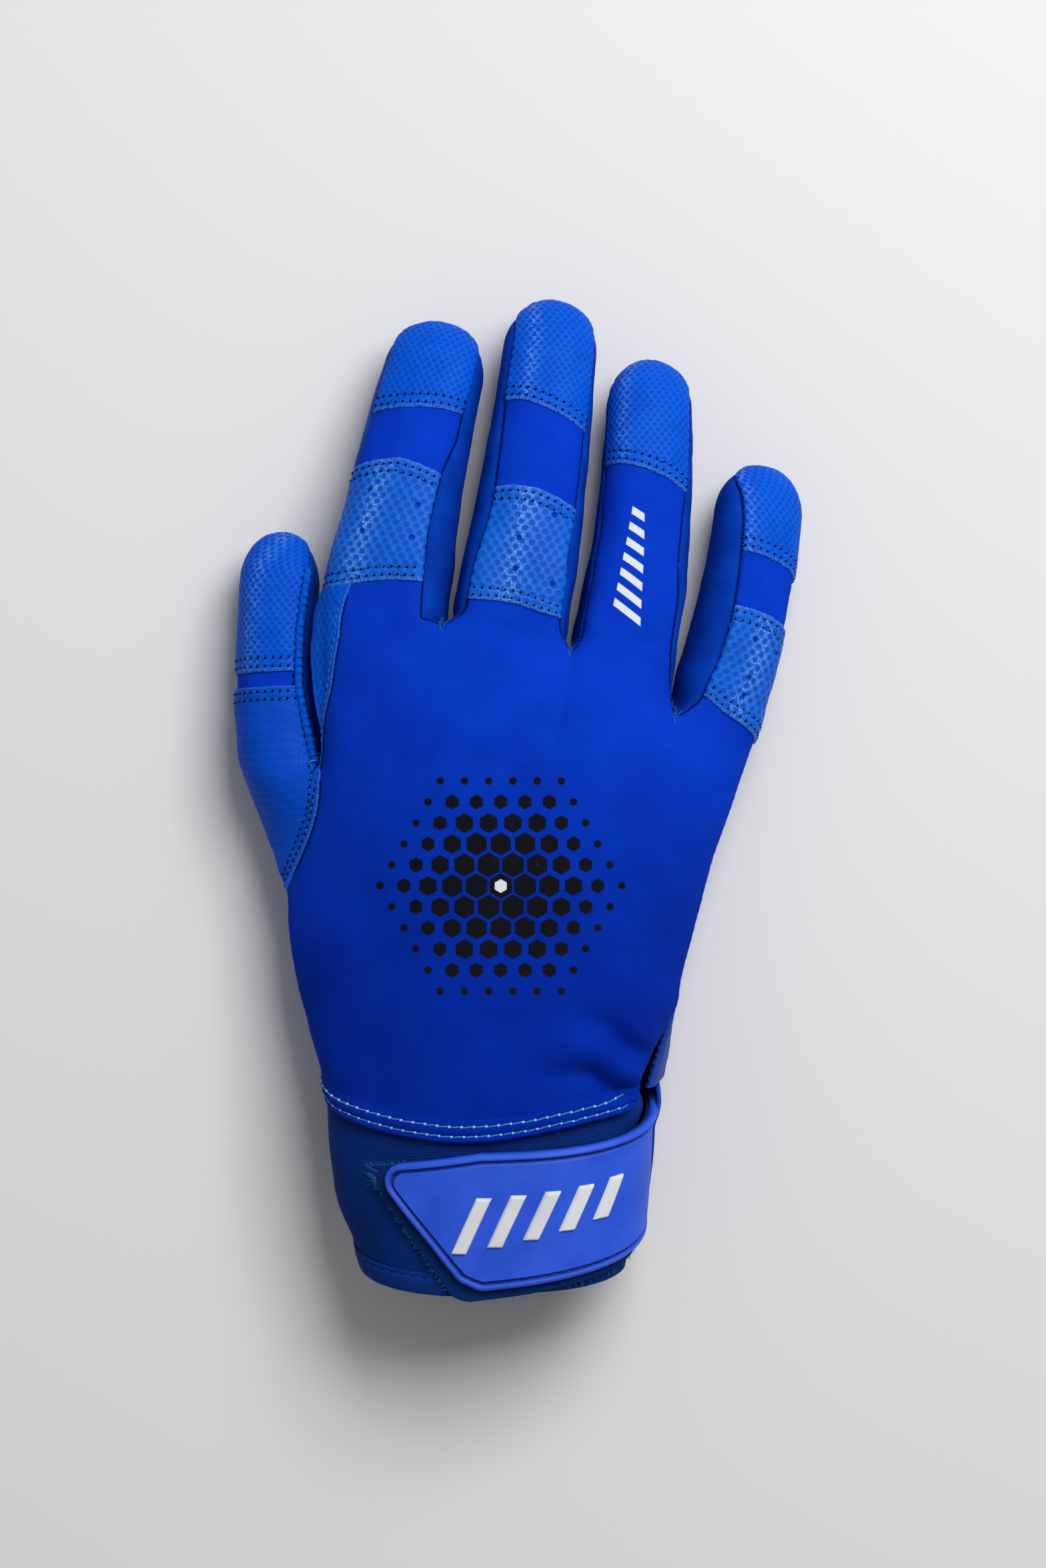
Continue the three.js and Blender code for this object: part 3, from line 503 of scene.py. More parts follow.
def front_folds(key):
    """Folds across the leather of a finger front, where it gathers at the base and at the knuckle."""
    name, side = key
    if side != "front" or name == "thumb":
        return np.zeros(1)
    rows = panel_run(key) + 0.9 * np.sin(5 * PALM_T)[None]
    inner = smooth(PALM_T, 0.2, 0.45) * (1 - smooth(PALM_T, 0.6, 0.85))
    return inner * sum(-0.75 * np.exp(-(((rows - s) / 0.95) ** 2)) for s in (*BASE_FOLDS, *FRONT_FOLDS[name]))


dent = field(seam_dent) + field(front_folds)
back_weight, palm_weight = np.clip(normals[:, 2], 0, 1), np.clip(-normals[:, 2], 0, 1)
shift = dent + 0.16 * ripple(points, 11, 3) + 0.05 * ripple(points, 4, 5)
shift += back_weight * knuckles(points) + np.sqrt(back_weight) * creases(points, CREASES)
shift += palm_weight * creases(points, PALM_LINES)
flat_heel = (points[:, 2] < 1.5) & (normals[:, 2] < -0.5)
shift[flat_heel] = 0
points = points + press * shift[:, None]
points[:, 2] = np.maximum(points[:, 2], 0.0)
normals = point_normals(points)
body = {k: (points[panel_ids(k)], normals[panel_ids(k)]) for k in keys}


def make(name, verts, faces, uv, look, fields=(), normals=None):
    """Mesh object from points in millimetres, four corners a face and one UV pair a point.

    A corner that repeats the one before it is dropped, so a face at a pole becomes a triangle."""
    used, index = np.unique(faces, return_inverse=True)
    faces = index.reshape(np.shape(faces))
    keep = faces != np.roll(faces, 1, 1)
    faces, keep = (a[keep.sum(1) > 2] for a in (faces, keep))
    loops, count = faces[keep], keep.sum(1)
    verts = np.asarray(verts)[used]
    mesh = bpy.data.meshes.new(name)
    mesh.vertices.add(len(verts))
    mesh.vertices.foreach_set("co", (verts * MM).astype(np.float32).ravel())
    mesh.loops.add(len(loops))
    mesh.loops.foreach_set("vertex_index", loops.astype(np.int32))
    mesh.polygons.add(len(faces))
    mesh.polygons.foreach_set("loop_start", (np.cumsum(count) - count).astype(np.int32))
    mesh.polygons.foreach_set("use_smooth", np.ones(len(faces), dtype=bool))
    mesh.update(calc_edges=True)
    corners = np.asarray(uv)[used][loops].astype(np.float32)
    mesh.uv_layers.new(name="UVMap").data.foreach_set("uv", corners.ravel())
    for key, value in fields:
        value = np.asarray(value)[used].astype(np.float32)
        mesh.attributes.new(key, "FLOAT", "POINT").data.foreach_set("value", value)
    if normals is not None:
        mesh.normals_split_custom_set_from_vertices(np.asarray(normals)[used].tolist())
    mesh.materials.append(look)
    piece = bpy.data.objects.new(name, mesh)
    bpy.context.scene.collection.objects.link(piece)
    return piece


def shell(name, p, normal, uv, thickness, look, faces=None, fields=(), smooth_normals=False):
    """Closed piece of cloth or leather: its outer face, a lining set in by the thickness, and walls between.

    Without faces the points are a grid, and its cells are the faces."""
    faces = quads(*p.shape[:2]) if faces is None else faces
    p, normal, uv = (np.reshape(a, (-1, size)) for a, size in ((p, 3), (normal, 3), (uv, 2)))
    n = len(p)
    start, stop = faces.ravel(), np.roll(faces, -1, 1).ravel()
    real = start != stop
    start, stop = start[real], stop[real]
    rim = ~np.isin(start * n + stop, stop * n + start)
    a, b = start[rim], stop[rim]
    every = np.concatenate([faces, faces[:, ::-1] + n, np.stack([b, a, a + n, b + n], -1)])
    both = [(k, np.concatenate([np.ravel(v)] * 2)) for k, v in fields]
    turned = np.concatenate([normal, -normal]) if smooth_normals else None
    layers = np.concatenate([p, p - normal * thickness])
    return make(name, layers, every, np.concatenate([uv] * 2), look, both, turned)


def sewn(name, parts, thickness, look, plan=False, move=0):
    """Piece made of rows of one or more panels, joined; its UV is in millimetres across and along it."""
    uv, faces = points[:, :2].copy(), []
    for key, rows in parts:
        ids = panel_ids(key)[rows]
        faces.append(ids.ravel()[quads(*ids.shape)][:, :: FACING[key[1]]])
        if not plan:
            across = lengths(body[key][0], 1)[0]
            uv[ids] = np.stack(np.broadcast_arrays(across - across[:, -1:] / 2, panel_run(key)), -1)[rows]
    faces = np.concatenate(faces)
    return shell(name, points + move, normals, uv, thickness, look, faces, smooth_normals=True)


def sample(values, row, col):
    """Catmull-Rom reading of a grid of vectors at fractional rows and columns."""
    def taps(x, count):
        i = np.clip(np.floor(x).astype(int), 0, count - 2)
        t = (x - i)[..., None]
        return np.clip(i[..., None] + np.arange(-1, 3), 0, count - 1), np.concatenate(span_weights(t), -1)

    (r, wr), (c, wc) = taps(row, values.shape[0]), taps(col, values.shape[1])
    return np.einsum("...i,...j,...ijk->...k", wr, wc, values[r[..., :, None], c[..., None, :]])


def on(key, s, t):
    """Points and normals of a panel at distances s along its stall and shares t across it."""
    grid, normal = body[key]
    s, t = np.broadcast_arrays(np.asarray(s, float), np.asarray(t, float))
    rows = np.interp(s, panel_run(key)[:, 0], np.arange(len(grid)))
    shares = THUMB_T if key[0] == "thumb" else {"back": BACK_T, "front": PALM_T}.get(key[1], SIDE_T)
    cols = np.interp(t, shares, np.arange(grid.shape[1]))
    return sample(grid, rows, cols), unit(sample(normal, rows, cols))


# Back panel: one comb-shaped piece of royal blue stretch jersey over the back of the hand, sewn to the palm
# at both sides, with a printed field of hexagons; at the little-finger side of the wrist it hangs open.
class Value:
    """A socket among a material's nodes: arithmetic on it adds Math nodes, node() adds any other node."""

    def __init__(self, tree, socket=None):
        self.tree, self.socket = tree, socket

    def node(self, kind, settings=None, sockets=None, out=0):
        """A node of a kind, with its settings and its sockets' values or links; out picks its outputs."""
        new = self.tree.nodes.new("ShaderNode" + kind)
        for key, value in (settings or {}).items():
            setattr(new, key, value)
        for key, value in (sockets or {}).items():
            if isinstance(value, Value):
                self.tree.links.new(value.socket, new.inputs[key])
            else:
                new.inputs[key].default_value = value
        found = [Value(self.tree, new.outputs[k]) for k in (out if isinstance(out, tuple) else (out,))]
        return found if isinstance(out, tuple) else found[0]

    def math(self, operation, other=0.0):
        """Math node on this value and, where the operation takes two, another."""
        return self.node("Math", {"operation": operation}, {0: self, 1: other})

    def __add__(self, other):
        return self.math("ADD", other)

    def __sub__(self, other):
        return self.math("SUBTRACT", other)

    def __rsub__(self, other):
        return self.node("Math", {"operation": "SUBTRACT"}, {0: other, 1: self})

    def __mul__(self, other):
        return self.math("MULTIPLY", other)

    def __mod__(self, other):
        return self.math("FLOORED_MODULO", other)

    def __abs__(self):
        return self.math("ABSOLUTE")

    __radd__, __rmul__ = __add__, __mul__

    def step(self, low, high):
        """0 below low, 1 above high, eased between."""
        sockets = {"Value": self, "From Min": low, "From Max": high}
        return self.node("MapRange", {"interpolation_type": "SMOOTHSTEP"}, sockets)

    def noise(self, scale, detail, distortion=0.0):
        """Cloudy noise over this vector, 0 to 1."""
        sockets = {"Vector": self, "Scale": scale, "Detail": detail, "Distortion": distortion}
        return self.node("TexNoise", sockets=sockets)

    def bump(self, strength, distance):
        """Normal of a surface that this value raises."""
        return self.node("Bump", sockets={"Strength": strength, "Distance": distance, "Height": self})

    def tint(self, colour, other):
        """Mix of two colours, or of a colour socket and a colour, by this value."""
        ends = {k: c if isinstance(c, Value) else (*c, 1) for k, c in ((6, colour), (7, other))}
        return self.node("Mix", {"data_type": "RGBA"}, {0: self, **ends}, out=2)


def finish(name, nodes, **constants):
    """Material: nodes() gives the sockets of its Principled shader that change over the surface."""
    material = bpy.data.materials.new(name)
    material.use_nodes = True
    shader = material.node_tree.nodes["Principled BSDF"]
    for key, value in constants.items():
        shader.inputs[key.replace("_", " ")].default_value = value
    for key, value in nodes(Value(material.node_tree)).items():
        material.node_tree.links.new(value.socket, shader.inputs[key.replace("_", " ")])
    return material


def mm_uv(v):
    """The piece's own millimetres: across, along, and both as one vector."""
    uv = v.node("UVMap", {"uv_map": "UVMap"})
    x, y = v.node("SeparateXYZ", sockets={0: uv}, out=(0, 1))
    return x, y, uv


def wave(x, pitch):
    """Cosine of a distance, 0 to 1, once every pitch."""
    return 0.5 + 0.5 * (x * (2 * np.pi / pitch)).math("COSINE")


def hexagon(x, y):
    """Distance from the middle of a hexagon standing on a corner, measured square to its sides."""
    x, y = abs(x), abs(y)
    return x.math("MAXIMUM", x * 0.5 + y * 0.866)


HEXAGON, FIELD_MIDDLE, FIELD_REACH = 5.4, (2.4, 30.5), 29


def hexagon_field(x, y):
    """Printed field: black hexagons on a lattice, full in the middle and shrinking away at its border."""
    wide, tall = HEXAGON, HEXAGON * 3**0.5
    x, y = x - FIELD_MIDDLE[0], y - FIELD_MIDDLE[1]
    ax, ay = (x + wide / 2) % wide - wide / 2, (y + tall / 2) % tall - tall / 2
    bx, by = x % wide - wide / 2, y % tall - tall / 2
    a, b = hexagon(ax, ay), hexagon(bx, by)
    first = a.math("LESS_THAN", b)
    cx, cy = x - (first * ax + (1 - first) * bx), y - (first * ay + (1 - first) * by)
    reach = hexagon(cy, cx) * (1 / FIELD_REACH)
    inside = a.math("MINIMUM", b)
    size = (1 - reach.math("POWER", 2.2)) * (wide / 2)
    black = (size - inside).step(0.12, 0.3)
    white = (1 - reach.step(0.05, 0.08)) * (1 - inside.step(1.25, 1.4))
    return black * reach.math("LESS_THAN", 1.0), white


def dashes(x, y):
    """Printed row of slanted white dashes along a finger, each a little shorter than the one before."""
    lean = y + x * 0.5
    place = (lean + 100.0) % 3.6
    half = (y * -0.085) + 3.9
    on_dash = place.step(0.55, 0.7) * (1 - place.step(2.3, 2.45))
    return on_dash * (half - abs(x + 0.4)).step(0.0, 0.15) * lean.step(4.4, 4.5) * (1 - lean.step(29.5, 29.6))


COURSE, WALE = 0.46, 0.62


def jersey_nodes(print_on=None):
    """Fine knit: courses with staggered wales, cloudy tone and lint, and what is printed on it; painted
    shade darkens the printed back towards the wrist and all of the hem.
    """
    def nodes(v):
        x, y, uv = mm_uv(v)
        course = wave(y, COURSE)
        wale = wave(x + (y * (1 / COURSE)).math("FLOOR") * (WALE / 2), WALE)
        cloud = uv.noise(0.07, 3.0)
        fuzz = uv.noise(1.7, 4.0)
        lint = uv.noise(2.6, 2.0, 1.5)
        knit = course * 0.65 + wale * 0.35
        tone = knit * 0.45 + cloud.step(0.3, 0.7) * 0.35 + fuzz * 0.2
        colour = tone.tint((0.0008, 0.026, 0.4), (0.0022, 0.05, 0.62))
        # Painted shade: a darker copy of the jersey's colour
        shaded_jersey_colour = tone.tint((0.0004, 0.014, 0.25), (0.001, 0.028, 0.4))
        # The hem takes the painted shade colour all over
        if print_on == "hem":
            colour = shaded_jersey_colour
        if print_on == "hexagons":
            # Painted shade: the printed back grows darker towards the wrist
            colour = (y + abs(x - 8.0) * 0.25).step(12.0, 76.0).tint(shaded_jersey_colour, colour)
            black, white = hexagon_field(x, y)
            worn = 1 - fuzz.step(0.56, 0.9) * 0.35
            colour = (black * worn).tint(colour, (0.0065, 0.0065, 0.0085))
            colour = (white * worn).tint(colour, (0.72, 0.74, 0.79))
        if print_on == "dashes":
            colour = (dashes(x, y) * (1 - fuzz.step(0.58, 0.9) * 0.3)).tint(colour, (0.7, 0.73, 0.8))
        colour = (lint.step(0.7, 0.76) * 0.25).tint(colour, (0.05, 0.2, 0.7))
        bump = (knit + fuzz * 0.7).bump(0.35, 0.0001)
        return {"Base_Color": colour, "Roughness": 0.72 + fuzz * 0.2, "Normal": bump}

    return nodes


JERSEY = dict(Specular_IOR_Level=0.03, Sheen_Weight=0.03, Sheen_Roughness=0.5, Sheen_Tint=(0.03, 0.25, 1, 1))
JERSEY_THICK = 0.9
jersey = finish("back_jersey", jersey_nodes(), **JERSEY)
jersey_printed = finish("printed_back_jersey", jersey_nodes("hexagons"), **JERSEY)
# Hem jersey: coloured all over with the painted shade colour of the jersey
jersey_hem = finish("hem_back_jersey", jersey_nodes("hem"), **JERSEY)
jersey_dashed = finish("dashed_back_jersey", jersey_nodes("dashes"), **JERSEY)


# How far the hem is drawn from the wrist's oval, at each half strip from the thumb side: it sags in the
# middle and stands off at the loose corner.
HEM_PULL = np.array([
    (0, 0, 0), (0, -0.6, 0), (0, -1.8, 0), (0, -2.4, 0), (0, -2.1, 0), (0, -1.0, 0), (0, 0.55, 0),
    (-6.0, 0.0, 3.9), (-4.6, -2.6, 12.8),
])
back_pull = np.zeros((len(points), 3))
for f, name in enumerate(FINGERS):
    ids = panel_ids((name, "back"))
    near_hem = 1 - smooth(points[ids][..., 1:2], -14, 8)
    back_pull[ids] = near_hem * spline(HEM_PULL, (f + BACK_T) / len(FINGERS))
hand_rows = slice(0, BASE_I + 1)
back_parts = [((n, "back"), hand_rows) for n in FINGERS]
back_panel = sewn("back_panel_jersey", back_parts, JERSEY_THICK, jersey_printed, True, back_pull)
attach(back_panel, "hand")
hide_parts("back_panel")


# Palm panel: thin dyed sheepskin from the heel of the hand to the finger bases, drawn up round both sides of
# the hand and sewn to the back panel; its grain is fine, with soft stretch marks.
def plain_leather_nodes(v):
    """Thin dyed leather: fine grain, pores and soft clouds."""
    uv = mm_uv(v)[2]
    grain = v.node("TexVoronoi", {"feature": "DISTANCE_TO_EDGE"}, {"Vector": uv, "Scale": 1.6}, out=0)
    cloud = uv.noise(0.12, 5.0)
    pores = uv.noise(2.5, 3.0)
    tone = cloud.step(0.3, 0.75) * 0.7 + pores * 0.3
    colour = tone.tint((0.0016, 0.042, 0.36), (0.0026, 0.06, 0.48))
    height = grain.step(0.0, 0.22) + pores * 0.4
    bump = height.bump(0.3, 0.00012)
    return {"Base_Color": colour, "Roughness": 0.44 + pores * 0.25, "Normal": bump}


LEATHER_THICK = 0.9
palm_leather = finish("palm_leather", plain_leather_nodes, Specular_IOR_Level=0.14)
# At the open side of the wrist the palm's edge bulges outwards and curls up over the back's
outwards, upwards = np.interp(PALM_T, (0.4, 0.8, 1), (0, 3.2, -0.6)), 6.5 * smooth(PALM_T, 0.65, 1)
palm_curl = np.zeros((len(points), 3))
ids = panel_ids(("little", "front"))
near_wrist = 1 - smooth(points[ids][..., 1:2], -14, 16)
palm_curl[ids] = near_wrist * np.stack([outwards, 0 * PALM_T, upwards], -1)
palm_parts = [((n, "front"), hand_rows) for n in FINGERS]
palm = sewn("palm_panel_leather", palm_parts, LEATHER_THICK, palm_leather, True, palm_curl)
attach(palm, "hand")
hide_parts("palm_panel")


# Finger stalls: jersey on the back, leather on the front and ribbed stretch strips between them, each cut in
# a lower and an upper piece. Crotch pieces join the strips of two fingers.
def side_nodes(v):
    """Stretch cloth: slanting ribs crossed by a finer weave."""
    x, y, uv = mm_uv(v)
    rib = wave(x * 0.75 + y * 0.66, 0.62)
    cross = wave(x * 0.66 - y * 0.75, 0.5)
    cloud = uv.noise(0.1, 3.0)
    fuzz = uv.noise(1.4, 3.0)
    knit = rib * 0.75 + cross * 0.25
    colour = (knit * 0.5 + cloud.step(0.3, 0.7) * 0.5).tint((0.0008, 0.024, 0.27), (0.0018, 0.052, 0.47))
    bump = (knit + fuzz * 0.4).bump(0.4, 0.00012)
    return {"Base_Color": colour, "Roughness": 0.7 + fuzz * 0.2, "Normal": bump}


side_stretch = finish("side_stretch", side_nodes, Specular_IOR_Level=0.03)
BASE_BEND = (1.2, 13.5)
KNUCKLE_BEND = {
    "index": (33.2, 47), "middle": (28, 45.4), "ring": (24, 38), "little": (15.7, 28.6), "thumb": (18.1, 27),
}
SPLIT = {"index": 20, "middle": 18, "ring": 19, "little": 14.6, "thumb": 18.1}


def bend(piece, name, part):
    """Bakes the piece's placing into its mesh. The bend's ends, at the stall's base for lower pieces and at
    the knuckle for upper ones, and the bodies on either side are worked out but not used.
    """
    start, end = BASE_BEND if part == "lower" else KNUCKLE_BEND[name]
    a, b = STALLS[name].axes(np.array([start, end]))[0] * MM
    bodies = ("hand", name + "_lower") if part == "lower" else (name + "_lower", name + "_upper")
    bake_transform(piece)


for name in FINGERS:
    split = int(np.searchsorted(along[name], SPLIT[name]))
    looks = {"back": jersey_dashed if name == "ring" else jersey, "front": palm_leather}
    for side in ("back", "front", "outer", "thumb"):
        if (name, side) not in form:
            continue
        skip = len(along[name]) - len(form[name, side])
        halves = {"lower": slice(BASE_I - skip, split + 1 - skip), "upper": slice(split - skip, None)}
        for part, rows in halves.items():
            stem = f"{name}_{side}" if side in ("back", "front") else f"{name}_{side}_fourchette"
            thick = JERSEY_THICK if side == "back" else LEATHER_THICK
            piece = sewn(f"{stem}_{part}_piece", [((name, side), rows)], thick, looks.get(side, side_stretch))
            bend(piece, name, part)
            if side != "back":
                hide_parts(f"{stem}_{part}")
            elif part == "lower":
                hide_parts(name + "_back_strip", name + "_base_flex")
            else:
                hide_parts(name + "_knuckle_flex")
for left, right in zip(FINGERS, FINGERS[1:]):
    wall = slice(0, BASE_I - CROTCH_I + 1)
    walls = [((left, "outer"), wall), ((right, "thumb"), wall)]
    piece = sewn(f"{left}_{right}_crotch_piece", walls, 0.8, side_stretch)
    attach(piece, "hand")
    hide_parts(f"{left}_{right}_crotch")


# Knuckle bands and tip caps: embossed leather laid over the finger backs with raw cut edges, held down by two
# rows of stitching along each free edge; the bands of three fingers have small punched air holes.
def embossed_nodes(ridge, cell_floor, gloss):
    """Embossed leather: bright ridges, darker cells and holes, pale along raw edges, and pale ridges in a
    stripe of painted highlight.
    """
    def nodes(v):
        uv = mm_uv(v)[2]
        cell, pit, pale_edge_and_highlight = (v.node("Attribute", {"attribute_name": n}, out=2) for n in ("cell", "pit", "pale_edge_and_highlight"))
        cloud = uv.noise(0.16, 5.0)
        pores = uv.noise(2.2, 4.0)
        mark = (cell * 0.8 + (1 - cloud.step(0.3, 0.72)) * 0.45 + pores * 0.25 - 0.22).step(0.0, 1.0)
        colour = mark.tint(ridge, cell_floor)
        speckled_edge_and_highlight = pale_edge_and_highlight * pores.step(0.4, 0.62)
        # Pale tint: raw cut edges, and a painted highlight stripe of pale ridges along the middle of bands
        # and caps
        colour = (speckled_edge_and_highlight * 0.6).tint(colour, (0.22, 0.44, 0.8))
        # Painted shade: the punched holes are coloured almost black
        colour = pit.tint(colour, (0.0008, 0.008, 0.05))
        bump = pores.bump(0.3, 0.0001)
        rough = cell * 0.16 + pores * 0.24 + (gloss + pit * 0.2)
        return {"Base_Color": colour, "Roughness": rough, "Normal": bump}

    return nodes


band_leather = finish(
    "band_leather", embossed_nodes((0.003, 0.118, 0.66), (0.0006, 0.076, 0.48), 0.3), Specular_IOR_Level=0.11
)
cap_leather = finish(
    "cap_leather", embossed_nodes((0.001, 0.098, 0.66), (0.0003, 0.062, 0.5), 0.34), Specular_IOR_Level=0.05
)
leaf_leather = finish(
    "leaf_leather", embossed_nodes((0.001, 0.072, 0.56), (0.0006, 0.06, 0.5), 0.36), Specular_IOR_Level=0.06
)


def honeycomb(u, v, wide, tall):
    """1 in the sunk cells of a staggered lattice, 0 on the ridges: cos(2 pi u / w) cos(pi v / h), rounded."""
    lump = np.cos(2 * np.pi * u / wide) * np.cos(np.pi * v / tall) + 0.22 * np.cos(2 * np.pi * v / tall)
    return smooth(lump, -0.28, 0.3)


# Rows of stitching beside a raw edge, and their pitch, bead and needle hole; the fine lattice of the caps
STITCH_ROWS, STITCH_PITCH, STITCH, NEEDLE_HOLE = (1.2, 3.0), 1.75, (1.25, 0.42), (0.74, 0.58)
FINE_CELL = (1.75, 1.04)
SINK, SINK_HALF, EDGE_DROP, HOLE_INNER, HOLE_OUTER, HOLE_DEPTH = 0.16, 0.42, 0.2, 0.38, 0.66, 0.75


def leather_piece(
    name, base, normal, v, look, lift, emboss, raw, holes=(), rows=STITCH_ROWS, highlight_stripe=None, pale=1.0
):
    """Leather laid on a grid of points: raised by the lift, sunk into the seams at edges that are not
    raw.

    base and normal are the grid under it, v its distance along the stall, emboss the lattice's width and
    height and depth, and raw says which of its first row, last row, first column and last column are cut
    edges. rub is the middle, half width and strength of a stripe along it whose ridges are painted pale as a
    highlight, and pale how pale raw edges are."""
    left, right = lengths(base, 1)
    up, down = lengths(base, 0)
    cell = honeycomb(left - left[:, -1:] / 2, v, *emboss[:2])
    height = np.full(left.shape, lift)
    pale_edge_and_highlight = np.zeros(left.shape)
    if highlight_stripe:
        # Painted highlight: the ridges in a stripe along the piece are painted pale
        pale_edge_and_highlight = highlight_stripe[2] * np.exp(-(((left - left[:, -1:] * highlight_stripe[0]) / highlight_stripe[1]) ** 2)) * (1 - cell)
        pale_edge_and_highlight = pale_edge_and_highlight * (1 + 0.5 * ripple(base, 3, 17))
    for d, cut_edge in zip((up, down, left, right), raw):
        if cut_edge:
            height -= sum(SINK * np.exp(-(((d - r) / SINK_HALF) ** 2)) for r in rows)
            height -= EDGE_DROP * (1 - smooth(d, 0, 0.35))
            cell = cell * (1 - 0.5 * np.exp(-(((d - rows[-1] / 2) / 1.1) ** 2)))
            pale_edge_and_highlight = np.maximum(pale_edge_and_highlight, pale * np.exp(-d / 0.35))
        else:
            height -= (lift - 0.12) * (1 - smooth(d, 0, 1.3))
    pit = np.zeros(left.shape)
    for hole_point in holes:
        d = np.linalg.norm(base - hole_point, axis=2)
        pit = np.maximum(pit, 1 - smooth(d, HOLE_INNER, HOLE_OUTER))
    height += 0.06 * ripple(base, 7, 11) - emboss[2] * cell - HOLE_DEPTH * pit
    cell = cell * (1 - pit)
    grid = base + normal * height[..., None]
    uv = np.stack([left - left[:, -1:] / 2, np.broadcast_to(v, left.shape)], -1)
    fields = [("cell", cell), ("pit", pit), ("pale_edge_and_highlight", pale_edge_and_highlight)]
    return shell(name, grid, normal, uv, LEATHER_THICK, look, fields=fields)


def thread_nodes(dark, light):
    """Twisted thread: strands in two tones."""
    def nodes(v):
        x, y, uv = mm_uv(v)
        strand = wave(x * 1.0 + y * 0.35, 0.42)
        fuzz = uv.noise(2.0, 3.0)
        colour = (strand * 0.7 + fuzz * 0.3).tint(dark, light)
        bump = strand.bump(0.5, 0.0001)
        return {"Base_Color": colour, "Roughness": 0.55 + fuzz * 0.2, "Normal": bump}

    return nodes


def hole_nodes(v):
    """Needle hole: almost black, as painted shade in the hole."""
    speck = v.node("TexNoise", sockets={"Scale": 900.0})
    return {"Base_Color": speck.tint((0, 0.004, 0.03), (0.001, 0.012, 0.08))}


# Threads: dark and light colour of the strands, and shine
THREADS = {
    "leather_thread": ((0.0015, 0.06, 0.4), (0.012, 0.2, 0.75), 0.3),
    # Seam thread: near black, painted shade of the seam over the thread's own colour
    "seam_shade_thread": ((0.0003, 0.004, 0.04), (0.0008, 0.014, 0.12), 0.05),
    "jersey_thread": ((0.001, 0.02, 0.22), (0.004, 0.06, 0.5), 0.2),
    "pale_thread": ((0.006, 0.15, 0.42), (0.07, 0.38, 0.68), 0.2),
    # Pale beads on the hem stitches: painted highlight on the thread
    "stitch_highlight_thread": ((0.2, 0.4, 0.72), (0.62, 0.74, 0.88), 0.3),
    "fray_thread": ((0.006, 0.1, 0.32), (0.06, 0.32, 0.6), 0.1),
}
leather_thread, seam_shade_thread, jersey_thread, pale_thread, stitch_highlight_thread, fray_thread = (
    finish(name, thread_nodes(dark, light), Specular_IOR_Level=shine)
    for name, (dark, light, shine) in THREADS.items()
)
# Needle holes are beads coloured almost black: painted shade where the needle went through
needle_hole = finish("needle_hole", hole_nodes, Roughness=0.9, Specular_IOR_Level=0.05)
# Overlocked rows use the near-black seam thread, painted shade along the seams
OVERLOCK = (1.15, (1.2, 0.42), seam_shade_thread, 0.06, 0.3)
BEAD_AT = np.array([-1, -0.82, -0.35, 0.35, 0.82, 1.0])
BEAD_THICK = np.array([0.3, 0.72, 1, 1, 0.72, 0.3])
BEAD_SIDES = 6
BEAD_CAPS = np.array([(0, 3, 2, 1), (0, 5, 4, 3), (30, 31, 32, 33), (30, 33, 34, 35)])
FIBRE_RINGS, FIBRE_SIDES = 5, 3
FIBRE_CAPS = np.array([(0, 2, 1, 1), (12, 13, 14, 14)])


def tubes(count, rings, sides, caps):
    """Faces of a number of equal tubes: quads from ring to ring, closed by the caps."""
    ring = np.arange(rings * sides).reshape(rings, sides)
    nxt = np.roll(ring, -1, 1)
    walls = np.stack([ring[:-1], nxt[:-1], nxt[1:], ring[1:]], -1).reshape(-1, 4)
    one = np.concatenate([walls, caps])
    return (one[None] + (np.arange(count) * rings * sides)[:, None, None]).reshape(-1, 4)


def read_along(q, d, s):
    """Vectors q, known at distances d, read at distances s."""
    return np.stack([np.interp(s, d, q[:, k]) for k in range(3)], -1)


def stitches(name, runs, pitch, size, look, rise=0.1, slant=0.0):
    """Rows of stitches: on every pitch of each run of points one bead, thick in the middle and dipping at
    its ends.

    size is the bead's length and width; slant turns it across the run by that tangent."""
    middles, ahead, up = [], [], []
    for p, n in runs:
        d = np.concatenate([[0], np.cumsum(np.linalg.norm(np.diff(p, axis=0), axis=1))])
        at = (np.arange(int(d[-1] / pitch)) + 0.5) * pitch
        middles.append(read_along(p, d, at))
        ahead.append(unit(read_along(p, d, at + 0.3) - read_along(p, d, at - 0.3)))
        up.append(unit(read_along(n, d, at)))
    middle, run, up = (np.concatenate(a)[:, None, None] for a in (middles, ahead, up))
    across = unit(np.cross(up, run))
    run = unit(run + across * slant)
    across = np.cross(up, run)
    turn = np.linspace(0, 2 * np.pi, BEAD_SIDES, endpoint=False)
    x = (BEAD_AT * size[0] / 2)[:, None, None]
    y, z = ((BEAD_THICK[:, None] * wheel * size[1] / 2)[..., None] for wheel in (np.cos(turn), np.sin(turn)))
    z = z + (rise * (1 - 1.6 * BEAD_AT**2))[:, None, None]
    verts = (middle + run * x + across * y + up * z).reshape(-1, 3)
    faces = tubes(len(middle), len(BEAD_AT), BEAD_SIDES, BEAD_CAPS)
    uv = np.stack(np.broadcast_arrays(x[..., 0], turn[None]), -1).reshape(-1, 2)
    return make(name, verts, faces, np.tile(uv, (len(middle), 1)), look)


